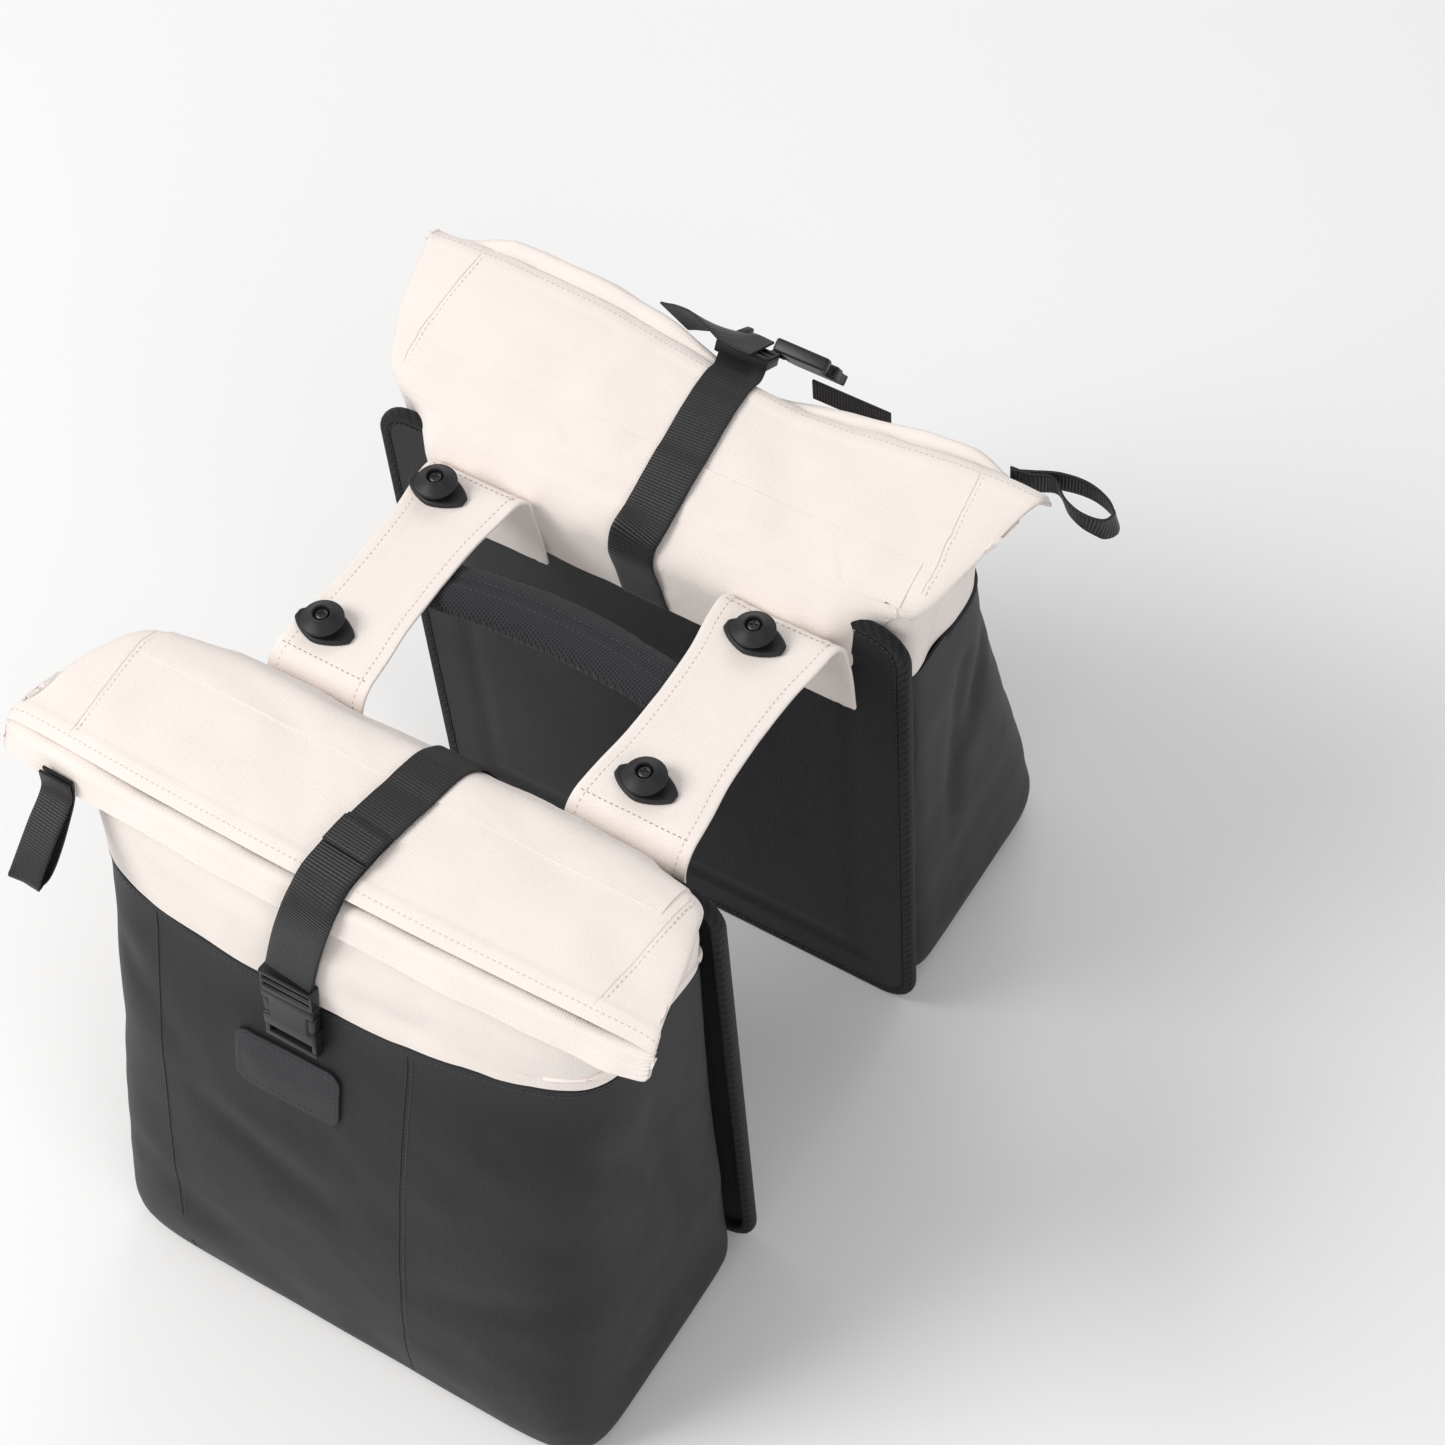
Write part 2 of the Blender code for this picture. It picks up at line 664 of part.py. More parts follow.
def carry_handle():
    """Padded handle under the flaps, along the rack."""
    start = REAR_FLAP_X + 0.10 * REAR_FLAP_WIDTH
    end = FRONT_FLAP_X - 0.10 * FRONT_FLAP_WIDTH
    top = FLAP_TOP - FLAP_THICKNESS - 1.5 * GAP
    rings = []
    for step in range(11):
        share = step / 10
        arch = math.sin(math.pi * share) ** 0.7
        y = HANDLE_MIDDLE_Y + 0.010 * math.sin(math.pi * share)
        swell = 0.80 + 0.20 * arch
        middle_z = top - swell * HANDLE_THICKNESS / 2
        ring = []
        for turn in range(12):
            across, up = squircle(math.tau * turn / 12, 3.0)
            ring.append(
                (
                    lerp(start, end, share),
                    y + across * swell * HANDLE_WIDTH / 2,
                    middle_z + up * swell * HANDLE_THICKNESS / 2,
                )
            )
        rings.append(ring)
    bm = loft(rings, True)
    bm.verts.ensure_lookup_table()
    bm.faces.new(bm.verts[-12:])
    bmesh.ops.recalc_face_normals(bm, faces=bm.faces)
    add_object("carry_handle", mesh_from(bm, "handle"), MESH_CLOTH, whole)


def stand_on_floor():
    """Moves the whole so that the origin is on the floor, below the middle of its box."""
    bpy.context.view_layer.update()
    graph = bpy.context.evaluated_depsgraph_get()
    points = []
    for obj in pannier.objects:
        evaluated = obj.evaluated_get(graph)
        mesh = evaluated.to_mesh()
        points += [obj.matrix_world @ vert.co for vert in mesh.vertices]
        evaluated.to_mesh_clear()
    low = [min(point[axis] for point in points) for axis in range(3)]
    high = [max(point[axis] for point in points) for axis in range(3)]
    whole.location = (-(low[0] + high[0]) / 2, -(low[1] + high[1]) / 2, -low[2])


for old in list(bpy.data.objects):
    bpy.data.objects.remove(old, do_unlink=True)

pannier = bpy.data.collections.new("double_pannier")
bpy.context.scene.collection.children.link(pannier)

CANVAS = material("canvas_pale", (0.86, 0.79, 0.76), 0.85)
COATED = material("coated_charcoal", (0.035, 0.035, 0.038), 0.6)
TAPE = material("binding_tape", (0.02, 0.02, 0.02), 0.7)
WEB = material("webbing_black", (0.02, 0.02, 0.021), 0.5)
PLASTIC = material("plastic_black", (0.02, 0.02, 0.02), 0.4)
PATCH = material("patch_dark", (0.03, 0.03, 0.032), 0.5)
MESH_CLOTH = material("handle_mesh", (0.045, 0.045, 0.048), 0.9)
STEEL = material("screw_black", (0.03, 0.03, 0.03), 0.35)

whole = bpy.data.objects.new("whole", None)
bpy.context.scene.collection.objects.link(whole)
bags = {}
for bag_side, turn in (("right", 0.0), ("left", math.pi)):
    empty = bpy.data.objects.new(f"{bag_side}_bag", None)
    bpy.context.scene.collection.objects.link(empty)
    empty.parent = whole
    empty.rotation_euler.z = turn
    bags[bag_side] = empty

for bag_side, bag in bags.items():
    lower_shell(bag_side, bag)
    upper_shell(bag_side, bag)
    back_panel(bag_side, bag)
    edge_binding(bag_side, bag)

right_path = hanging_closure(bags["right"])
left_buckle = slack_closure(bags["left"])
patch("right", bags["right"], RIGHT_STRAP_U[1])
patch("left", bags["left"], LEFT_STRAP_U[1])
strap_tail(bags["right"], right_path)
loose_tail(bags["left"], left_buckle)
pull_loop("right", bags["right"], HANGING_LOOP, [(1, 0, 0)] * len(HANGING_LOOP))
pull_loop("left", bags["left"], SIDEWAYS_LOOP, [(0.1, 0.25, 1)] * len(SIDEWAYS_LOOP))

flap("rear_flap", REAR_FLAP_X, REAR_FLAP_WIDTH)
flap("front_flap", FRONT_FLAP_X, FRONT_FLAP_WIDTH)
for end, along in (("rear", -1), ("front", 1)):
    for bag_side, out in (("right", -1), ("left", 1)):
        fastener(f"{end}_{bag_side}", along * FASTENER_SPREAD / 2, out * FASTENER_GAUGE / 2)
carry_handle()
stand_on_floor()
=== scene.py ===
import math

import bmesh
import bpy
from mathutils import Matrix, Vector, noise
from mathutils.bvhtree import BVHTree


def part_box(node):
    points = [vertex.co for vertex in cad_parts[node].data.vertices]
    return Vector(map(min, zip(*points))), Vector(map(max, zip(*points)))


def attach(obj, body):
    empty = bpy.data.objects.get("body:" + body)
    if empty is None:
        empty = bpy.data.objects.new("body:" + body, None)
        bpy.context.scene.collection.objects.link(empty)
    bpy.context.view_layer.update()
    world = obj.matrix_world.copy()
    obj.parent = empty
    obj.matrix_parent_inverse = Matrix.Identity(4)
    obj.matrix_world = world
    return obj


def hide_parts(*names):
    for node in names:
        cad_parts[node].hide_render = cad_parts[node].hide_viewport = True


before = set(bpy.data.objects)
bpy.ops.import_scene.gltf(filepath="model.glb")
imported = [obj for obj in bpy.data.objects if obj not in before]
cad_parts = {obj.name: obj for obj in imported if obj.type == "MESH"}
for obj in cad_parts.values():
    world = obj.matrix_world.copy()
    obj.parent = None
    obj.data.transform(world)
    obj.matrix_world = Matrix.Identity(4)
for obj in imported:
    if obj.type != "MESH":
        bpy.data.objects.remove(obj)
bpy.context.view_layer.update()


def cornersOf(node):
    return [Vector(corner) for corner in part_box(node)]


knobLow, knobHigh = cornersOf("front_right_knob")
knobSpread = {"along": 0.210, "across": 0.110}  # between the knobs' middles
knobMiddle = (knobLow + knobHigh) / 2
shift = Vector((knobMiddle.x - knobSpread["along"] / 2, knobMiddle.y + knobSpread["across"] / 2, 0.0))
ringSteps = 256


def lerp(a, b, share):
    return a + (b - a) * share


def smoothStep(low, high, value):
    share = min(1.0, max(0.0, (value - low) / (high - low)))
    return share * share * (3 - 2 * share)


def hermite(keys, rows, key):
    # smooth value of each column at this key, through all rows
    key = min(max(key, keys[0]), keys[-1])
    i = max(index for index, start in enumerate(keys[:-1]) if start <= key)
    span = keys[i + 1] - keys[i]
    t = (key - keys[i]) / span
    before, after = max(i - 1, 0), min(i + 2, len(keys) - 1)
    values = []
    for a0, a, b, b0 in zip(rows[before], rows[i], rows[i + 1], rows[after]):
        slopeA = (b - a0) / (keys[i + 1] - keys[before]) * span
        slopeB = (b0 - a) / (keys[after] - keys[i]) * span
        h = ((2 * t - 3) * t * t + 1, ((t - 2) * t + 1) * t, (3 - 2 * t) * t * t, (t - 1) * t * t)
        values.append(h[0] * a + h[1] * slopeA + h[2] * b + h[3] * slopeB)
    return values


def smoothPath(points, steps):
    # a dense curve through points, even along its length
    keys = [0.0]
    for a, b in zip(points, points[1:]):
        keys.append(keys[-1] + max((Vector(b) - Vector(a)).length, 1e-6))
    return [Vector(hermite(keys, points, keys[-1] * step / steps)) for step in range(steps + 1)]


def toWorld(side, point):
    x, y, z = point
    if side == "left":
        x, y = -x, -y
    return Vector((x, y, z)) + shift


# Colours and materials

def fromHex(value):
    # sRGB hex to the linear colour that the shaders take
    channels = [int(value[i:i + 2], 16) / 255 for i in (1, 3, 5)]
    return [c / 12.92 if c <= 0.04045 else ((c + 0.055) / 1.055) ** 2.4 for c in channels] + [1.0]


def addNode(tree, kind, values=None, links=None, **settings):
    made = tree.nodes.new(kind)
    for name, value in settings.items():
        setattr(made, name, value)
    for socket, value in (values or {}).items():
        made.inputs[socket].default_value = value
    for socket, source in (links or {}).items():
        tree.links.new(source, made.inputs[socket])
    return made


def startMaterial(name, **sockets):
    made = bpy.data.materials.new(name)
    made.use_nodes = True
    shader = made.node_tree.nodes["Principled BSDF"]
    for socket, value in sockets.items():
        shader.inputs[socket.replace("_", " ")].default_value = value
    coords = addNode(made.node_tree, "ShaderNodeTexCoord").outputs
    return made, made.node_tree, shader, coords


def waveScale(period):
    return math.tau / 20 / period  # a Wave texture has 20 radians per unit at scale 1


def mixColour(tree, low, high, factor):
    made = addNode(tree, "ShaderNodeMix", data_type="RGBA")
    tree.links.new(factor, made.inputs["Factor"])
    made.inputs[6].default_value = fromHex(low)
    made.inputs[7].default_value = fromHex(high)
    return made.outputs[2]


def paint(tree, shader, low, high, factor):
    tree.links.new(mixColour(tree, low, high, factor), shader.inputs["Base Color"])


def roughen(tree, shader, low, high, factor):
    rough = addNode(tree, "ShaderNodeMapRange", {"To Min": low, "To Max": high}, {"Value": factor})
    tree.links.new(rough.outputs[0], shader.inputs["Roughness"])


def mottle(tree, coords, scale, detail):
    clouds = addNode(tree, "ShaderNodeTexNoise", {"Scale": scale, "Detail": detail},
                     {"Vector": coords})
    return clouds.outputs["Fac"]


def waves(tree, coords, direction, period, distortion=0.0):
    wave = addNode(tree, "ShaderNodeTexWave", {"Scale": waveScale(period), "Distortion": distortion},
                   {"Vector": coords}, bands_direction=direction)
    return wave.outputs["Fac"]


def mathNode(tree, operation, first, second):
    made = addNode(tree, "ShaderNodeMath", operation=operation)
    for index, value in enumerate((first, second)):
        if isinstance(value, (int, float)):
            made.inputs[index].default_value = value
        else:
            tree.links.new(value, made.inputs[index])
    return made.outputs[0]


def weaveHeight(tree, uv, warp, weft, slant=0.0):
    # crossing threads at the given spacing in metres, on the piece's own map
    turned = addNode(tree, "ShaderNodeMapping", {"Rotation": (0, 0, slant)}, {"Vector": uv})
    threads = [waves(tree, turned.outputs[0], direction, period)
               for direction, period in (("X", warp), ("Y", weft))]
    return mathNode(tree, "MULTIPLY", *threads)


def bump(tree, shader, height, distance, strength=1.0, normal=None):
    made = addNode(tree, "ShaderNodeBump", {"Distance": distance, "Strength": strength},
                   {"Height": height})
    if normal:
        tree.links.new(normal, made.inputs["Normal"])
    if shader:
        tree.links.new(made.outputs[0], shader.inputs["Normal"])
    return made.outputs[0]


def canvasFabric():
    # Polyester canvas, woven and dull: a fine grid of threads, faint warm clouds. Real threads are
    # 0.5 mm apart; they are drawn at 1.3 mm to show.
    made, tree, shader, coords = startMaterial("wovenPolyesterCanvas", Roughness=0.86, Sheen_Weight=0.25,
                                               Sheen_Roughness=0.5, Specular_IOR_Level=0.25)
    clouds = mottle(tree, coords["Object"], 14.0, 6.0)
    weave = weaveHeight(tree, coords["UV"], 0.0013, 0.0013, 0.0)
    slubs = mottle(tree, coords["UV"], 900.0, 2.0)
    shade = mathNode(tree, "ADD", mathNode(tree, "MULTIPLY", clouds, 0.6),
                     mathNode(tree, "MULTIPLY", weave, 0.35))
    paint(tree, shader, "#EADFD8", "#F8F1EC", shade)
    soft = bump(tree, None, slubs, 0.0002, 0.6)
    bump(tree, shader, weave, 0.00022, 0.8, soft)
    return made


def coatedFabric():
    # Polyester with a rubbery charcoal coat, calendered: close ribs and a dull sheen. Ribs of
    # 0.6 mm are drawn at 1.4 mm to show.
    made, tree, shader, coords = startMaterial("coatedPolyester", Specular_IOR_Level=0.28,
                                               Sheen_Weight=0.03, Sheen_Roughness=0.45)
    clouds = mottle(tree, coords["Object"], 18.0, 5.0)
    ribs = weaveHeight(tree, coords["UV"], 0.0014, 0.0011, 0.0)
    shade = mathNode(tree, "ADD", mathNode(tree, "MULTIPLY", clouds, 0.5),
                     mathNode(tree, "MULTIPLY", ribs, 0.5))
    paint(tree, shader, "#161619", "#232327", shade)
    roughen(tree, shader, 0.46, 0.62, clouds)
    bump(tree, shader, ribs, 0.0002, 0.8)
    return made


def twillTape():
    # Polyester binding tape, folded over and sewn: slanted twill ridges, matt black.
    made, tree, shader, coords = startMaterial("twillTape", Roughness=0.78, Sheen_Weight=0.05,
                                               Specular_IOR_Level=0.25)
    twill = weaveHeight(tree, coords["UV"], 0.0016, 0.0050, 0.78)
    paint(tree, shader, "#17171A", "#2B2B2E", twill)
    bump(tree, shader, twill, 0.0003, 0.9)
    return made


def ribbedWebbing():
    # Polypropylene webbing, woven: cross ribs with a satin sheen and flat selvedges. Its map has
    # across as 0 to the width and along as metres.
    made, tree, shader, coords = startMaterial("ribbedWebbing", Sheen_Weight=0.04,
                                               Specular_IOR_Level=0.36)
    ribs = waves(tree, coords["UV"], "Y", 0.0019)
    cords = waves(tree, coords["UV"], "X", 0.0030, 0.3)
    height = mathNode(tree, "ADD", mathNode(tree, "MULTIPLY", ribs, 0.88),
                      mathNode(tree, "MULTIPLY", cords, 0.12))
    paint(tree, shader, "#0A0A0B", "#222224", height)
    roughen(tree, shader, 0.55, 0.36, height)
    bump(tree, shader, height, 0.00035, 0.9)
    return made


def mouldedPlastic(name, low, high, roughness, grain):
    # Acetal, injection moulded: a fine spark-eroded grain, satin black, paler where it is rubbed.
    made, tree, shader, coords = startMaterial(name, Specular_IOR_Level=0.38, IOR=1.48)
    fine = mottle(tree, coords["Object"], 1.0 / grain, 3.0)
    wide = mottle(tree, coords["Object"], 60.0, 3.0)
    paint(tree, shader, low, high, wide)
    roughen(tree, shader, roughness - 0.07, roughness + 0.07, wide)
    bump(tree, shader, fine, 0.00012, 0.5)
    return made


def leatherette():
    # Polyurethane leatherette, embossed: shallow pebble grain, charcoal.
    made, tree, shader, coords = startMaterial("leatherette", Roughness=0.5, Specular_IOR_Level=0.34)
    pebbles = addNode(tree, "ShaderNodeTexVoronoi", {"Scale": 700.0}, {"Vector": coords["Object"]})
    grain = pebbles.outputs["Distance"]
    paint(tree, shader, "#2B2B2F", "#222226", grain)
    bump(tree, shader, grain, 0.00025, 0.6)
    return made


def spacerMesh():
    # Polyester spacer mesh, warp knitted: rows of small open cells over foam. Cells of 1.5 mm are
    # drawn at 1.9 mm to show.
    made, tree, shader, coords = startMaterial("spacerMesh", Roughness=0.92, Sheen_Weight=0.08,
                                               Specular_IOR_Level=0.2)
    cells = weaveHeight(tree, coords["Object"], 0.0019, 0.0016, 0.35)
    # painted shade: the open cells are painted near black for the shade inside the holes, and the raised
    # knit between them is painted paler
    paint(tree, shader, "#38383C", "#141416", cells)
    raised = mathNode(tree, "SUBTRACT", 1.0, cells)
    bump(tree, shader, raised, 0.0006, 0.9)
    return made


def blackedSteel():
    # Steel screw, phosphated black: dark metal with faint turning rings.
    made, tree, shader, coords = startMaterial("phosphatedSteel", Metallic=0.9, Roughness=0.38)
    stains = mottle(tree, coords["Object"], 400.0, 3.0)
    paint(tree, shader, "#3A3A3C", "#545456", stains)
    bump(tree, shader, stains, 0.00005, 0.4)
    return made


def sewingThread(name, low, high):
    # Polyester thread, twisted: short raised stitches with a soft shine.
    made, tree, shader, coords = startMaterial(name, Roughness=0.6, Sheen_Weight=0.2)
    twist = mottle(tree, coords["Object"], 1500.0, 2.0)
    paint(tree, shader, low, high, twist)
    bump(tree, shader, twist, 0.0001, 0.5)
    return made


finishes = {
    "canvas": canvasFabric(),
    "coated": coatedFabric(),
    "tape": twillTape(),
    "webbing": ribbedWebbing(),
    "plastic": mouldedPlastic("mouldedAcetal", "#161618", "#232326", 0.38, 0.0012),
    "knob": mouldedPlastic("mouldedKnob", "#1A1A1C", "#262629", 0.52, 0.0010),
    "patch": leatherette(),
    "handle_mesh": spacerMesh(),
    "screw": blackedSteel(),
    "paleThread": sewingThread("paleThread", "#CDBDB2", "#E4D8D0"),
    "darkThread": sewingThread("darkThread", "#1D1D20", "#343438"),
    "warmThread": sewingThread("warmThread", "#8A6C5A", "#B79C8B"),
}
print("materials made:", len(finishes))


# Pieces

def deselectAll():
    for chosen in bpy.context.selected_objects:
        chosen.select_set(False)


def makeActive(piece):
    deselectAll()
    piece.select_set(True)
    bpy.context.view_layer.objects.active = piece


def applyModifiers(piece):
    makeActive(piece)
    for modifier in list(piece.modifiers):
        bpy.ops.object.modifier_apply(modifier=modifier.name)


def settle(piece, finish, nodes=(), smoothAngle=35):
    # materials, shading, body and node of a finished piece
    piece.data.materials.clear()
    piece.data.materials.append(finishes[finish])
    makeActive(piece)
    bpy.ops.object.shade_smooth_by_angle(angle=math.radians(smoothAngle))
    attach(piece, "root")
    if nodes:
        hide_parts(*nodes)
    return piece


def newObject(name, bm):
    mesh = bpy.data.meshes.new(name)
    bm.to_mesh(mesh)
    bm.free()
    piece = bpy.data.objects.new(name, mesh)
    bpy.context.scene.collection.objects.link(piece)
    return piece


def pathLengths(points):
    lengths = [0.0]
    for a, b in zip(points, points[1:]):
        lengths.append(lengths[-1] + (b - a).length)
    return lengths


def alongPath(points, i):
    before, after = points[max(i - 1, 0)], points[min(i + 1, len(points) - 1)]
    return (after - before).normalized()


def gridMesh(grid, closed=False, flipped=False):
    # faces over rows of points, with a map in metres: X along a row, Y from row to row
    bm = bmesh.new()
    layer = bm.loops.layers.uv.new("UVMap")
    verts = [[bm.verts.new(point) for point in row] for row in grid]
    count = len(grid[0])
    middle = grid[len(grid) // 2]
    across = pathLengths(list(middle) + ([middle[0]] if closed else []))
    up = pathLengths([row[count // 4] for row in grid])
    for i in range(len(grid) - 1):
        for j in range(count if closed else count - 1):
            k = (j + 1) % count
            corners = [(i, j, j), (i, k, j + 1), (i + 1, k, j + 1), (i + 1, j, j)]
            if flipped:
                corners.reverse()
            face = bm.faces.new([verts[row][column] for row, column, _ in corners])
            for loop, (row, _, place) in zip(face.loops, corners):
                loop[layer].uv = (across[place], up[row])
    return bm


def gridNormal(grid, i, j, closed):
    count = len(grid[i])
    left, right = (j - 1, (j + 1) % count) if closed else (max(j - 1, 0), min(j + 1, count - 1))
    low, high = grid[max(i - 1, 0)], grid[min(i + 1, len(grid) - 1)]
    normal = (grid[i][right] - grid[i][left]).cross(high[j] - low[j])
    return normal.normalized() if normal.length > 1e-9 else Vector((0, 0, 1))


def pushed(grid, closed, depthAt):
    # every point moved along its normal by depthAt(point)
    return [[point + gridNormal(grid, i, j, closed) * depthAt(point) for j, point in enumerate(row)]
            for i, row in enumerate(grid)]


def inWorld(side, grid):
    return [[toWorld(side, point) for point in row] for row in grid]


def thicken(piece, thickness, offset=-1.0, even=True):
    solid = piece.modifiers.new("wall", "SOLIDIFY")
    solid.thickness = thickness
    solid.offset = offset
    solid.use_even_offset = even  # off where a corner is sharper than the wall can follow


def roundEdges(piece, width, segments=3, angle=35):
    edge = piece.modifiers.new("edge", "BEVEL")
    edge.width = width
    edge.segments = segments
    edge.limit_method = "ANGLE"
    edge.angle_limit = math.radians(angle)


def rounded(piece, width, segments=3, angle=35):
    roundEdges(piece, width, segments, angle)
    applyModifiers(piece)
    return piece


def crumple(point, seed, size, amount):
    # soft waves of the fabric, at about this size
    where = Vector(point) / size + Vector((seed * 7.3, seed * 3.1, seed * 1.7))
    return amount * (noise.noise(where) + 0.45 * noise.noise(where * 2.3))


def creaseDepth(point, creases):
    # folds along straight lines: start, end, half width, height of the fold
    depth = 0.0
    for start, end, width, height in creases:
        a, b = Vector(start), Vector(end)
        along = b - a
        share = min(1.0, max(0.0, (point - a).dot(along) / along.length_squared))
        away = (point - a - along * share).length / width
        fade = math.sin(math.pi * min(0.97, max(0.03, share))) ** 0.5
        depth += height * fade * math.exp(-away * away)
    return depth


def treeOf(piece):
    return BVHTree.FromObject(piece, bpy.context.evaluated_depsgraph_get())


def onto(tree, points):
    # the nearest points of a finished piece, with its normals there
    landed = []
    for point in points:
        place, normal, _, _ = tree.find_nearest(point)
        landed.append((place, normal))
    return landed


def stitches(name, lines, finish, pitch=0.0036, length=0.0026, radius=0.00032, lift=0.0001):
    # rows of short raised stitches as one mesh; each line is a list of (place, normal)
    bm = bmesh.new()
    sides = 6
    for line in lines:
        lengths = pathLengths([place for place, _ in line])
        count = int(lengths[-1] / pitch)
        index = 0
        for number in range(count):
            reach = (number + 0.5) * pitch
            while index < len(lengths) - 2 and lengths[index + 1] < reach:
                index += 1
            (a, normalA), (b, normalB) = line[index], line[index + 1]
            span = max(lengths[index + 1] - lengths[index], 1e-9)
            share = (reach - lengths[index]) / span
            normal = normalA.lerp(normalB, share).normalized()
            along = (b - a).normalized()
            out = (normal - along * normal.dot(along)).normalized()
            side = along.cross(out)
            middle = a.lerp(b, share) + out * lift
            rings = []
            for step, size in ((-0.5, 0.35), (-0.28, 1.0), (0.28, 1.0), (0.5, 0.35)):
                ring = []
                for turn in range(sides):
                    angle = math.tau * turn / sides
                    off = (side * math.cos(angle) + out * math.sin(angle) * 0.8) * radius * size
                    sink = out * (-radius * 1.2 if size < 1 else 0.0)
                    ring.append(bm.verts.new(middle + along * length * step + off + sink))
                rings.append(ring)
            for low, high in zip(rings, rings[1:]):
                for turn in range(sides):
                    after = (turn + 1) % sides
                    bm.faces.new((low[turn], high[turn], high[after], low[after]))
            bm.faces.new(rings[0])
            bm.faces.new(reversed(rings[-1]))
    bmesh.ops.recalc_face_normals(bm, faces=bm.faces)
    return settle(newObject(name, bm), finish, smoothAngle=60)


def ridge(name, line, radius, finish, flat=0.6):
    # a thin raised seam along (place, normal) pairs, closed at both ends
    grid = []
    for i, (place, normal) in enumerate(line):
        along = alongPath([pair[0] for pair in line], i)
        out = (normal - along * normal.dot(along)).normalized()
        side = along.cross(out)
        taper = 0.4 if i in (0, len(line) - 1) else 1.0
        ring = []
        for turn in range(8):
            angle = -math.tau * turn / 8
            ring.append(place + (side * math.cos(angle) + out * math.sin(angle) * flat) * radius * taper)
        grid.append(ring)
    bm = gridMesh(grid, closed=True)
    bm.verts.ensure_lookup_table()
    bm.faces.new(list(reversed(bm.verts[:8])))
    bm.faces.new(bm.verts[-8:])
    bmesh.ops.recalc_face_normals(bm, faces=bm.faces)
    return settle(newObject(name, bm), finish, smoothAngle=80)


# Bag bodies

bag = {
    "width": 0.344, "depth": 0.178, "top": 0.390, "seam": 0.313, "fabric": 0.0018,
    "back": 0.1013, "sideFold": 0.35, "mouthWidth": 0.410, "foldReach": 0.101, "foldRise": 0.036,
    "mouthBow": 0.005, "sag": {"right": 0.0, "left": 0.012}, "sagMiddle": -0.040, "sagRadius": 0.100,
    "hem": 0.012, "hemThick": 0.0007,
}
bodyRows = [
    # height, front, back, width, front squareness, back squareness
    (0.000, 0.930, 0.050, 0.940, 8.0, 6.0),
    (0.010, 0.975, 0.014, 0.980, 9.0, 7.0),
    (0.040, 0.998, 0.000, 1.000, 10.0, 8.0),
    (0.140, 1.000, 0.000, 1.000, 8.0, 8.0),
    (0.280, 0.970, 0.000, 1.000, 6.0, 8.0),
    (0.460, 0.910, 0.000, 0.995, 4.6, 8.0),
    (0.650, 0.820, 0.000, 0.995, 4.2, 8.0),
    (0.800, 0.725, 0.000, 1.000, 4.0, 8.0),
    (0.900, 0.690, 0.000, 1.004, 4.0, 8.0),
    (0.955, 0.678, 0.000, 1.008, 4.0, 8.0),
]
rollRows = [
    # back out, back up on the right, on the left, front out, front up, spread, squareness x2, side
    (0.000, 0.05, 0.05, 1.125, -0.05, 0.08, 4.2, 8.0, 0.36),
    (0.012, 0.45, 0.22, 1.100, 0.20, 0.20, 4.6, 8.0, 0.38),
    (0.070, 0.72, 0.38, 1.070, 0.38, 0.34, 5.0, 8.0, 0.40),
    (0.200, 0.86, 0.53, 1.045, 0.50, 0.48, 5.5, 8.0, 0.42),
    (0.400, 0.95, 0.70, 1.025, 0.58, 0.64, 6.0, 9.0, 0.44),
    (0.620, 1.00, 0.85, 1.010, 0.64, 0.78, 7.0, 9.0, 0.46),
    (0.800, 1.01, 0.94, 1.008, 0.68, 0.88, 7.0, 9.0, 0.48),
    (0.920, 1.00, 0.97, 1.035, 0.70, 0.95, 7.0, 9.0, 0.50),
    (0.980, 0.97, 0.96, 1.070, 0.62, 0.98, 6.5, 9.0, 0.50),
    (1.030, 0.90, 0.90, 1.130, 0.25, 1.00, 6.0, 9.0, 0.45),
]
dents = [
    # across, height, radius, depth
    (-0.30, 0.86, 0.42, 0.030),
    (0.36, 0.84, 0.40, 0.034),
    (0.02, 0.72, 0.34, 0.020),
    (-0.38, 0.55, 0.50, 0.022),
    (0.30, 0.42, 0.55, 0.018),
]


def squircle(angle, square):
    c, s = math.cos(angle), math.sin(angle)
    reach = (abs(c) ** square + abs(s) ** square) ** (-1 / square)
    return reach * c, reach * s


def dentDepth(u, z):
    depth = 0.0
    for across, height, radius, deep in dents:
        away = math.hypot(u - across * bag["width"], z - height * bag["top"]) / (radius * bag["depth"])
        depth += deep * bag["depth"] * math.exp(-away * away)
    return depth


def bodySection(z):
    heights = [row[0] for row in bodyRows]
    _, front, back, width, frontSquare, backSquare = hermite(heights, bodyRows, z / bag["top"])
    return (bag["back"] + front * bag["depth"], bag["back"] + back * bag["depth"],
            width * bag["width"] / 2, frontSquare, backSquare)


def frontAt(u, z):
    frontV, backV, half, square, _ = bodySection(z)
    sideV = lerp(backV, frontV, bag["sideFold"])
    share = (1 - min(abs(u) / half, 0.999) ** square) ** (1 / square)
    return lerp(sideV, frontV, share) - dentDepth(u, z) * share


def bodyPoint(angle, z):
    frontV, backV, half, frontSquare, backSquare = bodySection(z)
    sideV = lerp(backV, frontV, bag["sideFold"])
    if math.sin(angle) > 0:
        across, share = squircle(angle, backSquare)
        return Vector((across * half, -lerp(sideV, backV, share), z))
    across, share = squircle(angle, frontSquare)
    v = lerp(sideV, frontV, -share) + dentDepth(across * half, z) * share
    return Vector((across * half, -v, z))


def sunk(point, spread, sag, frontLayer):
    share = max(0.0, spread - 0.34) / 0.66
    if frontLayer:
        share = lerp(0.7, 1.0, share)
    hollow = math.exp(-(((point.x - bag["sagMiddle"]) / bag["sagRadius"]) ** 2))
    point.y += share * (bag["mouthBow"] * (2 * point.x / bag["mouthWidth"]) ** 2 + 0.8 * sag * hollow)
    point.z -= share * sag * hollow
    return point


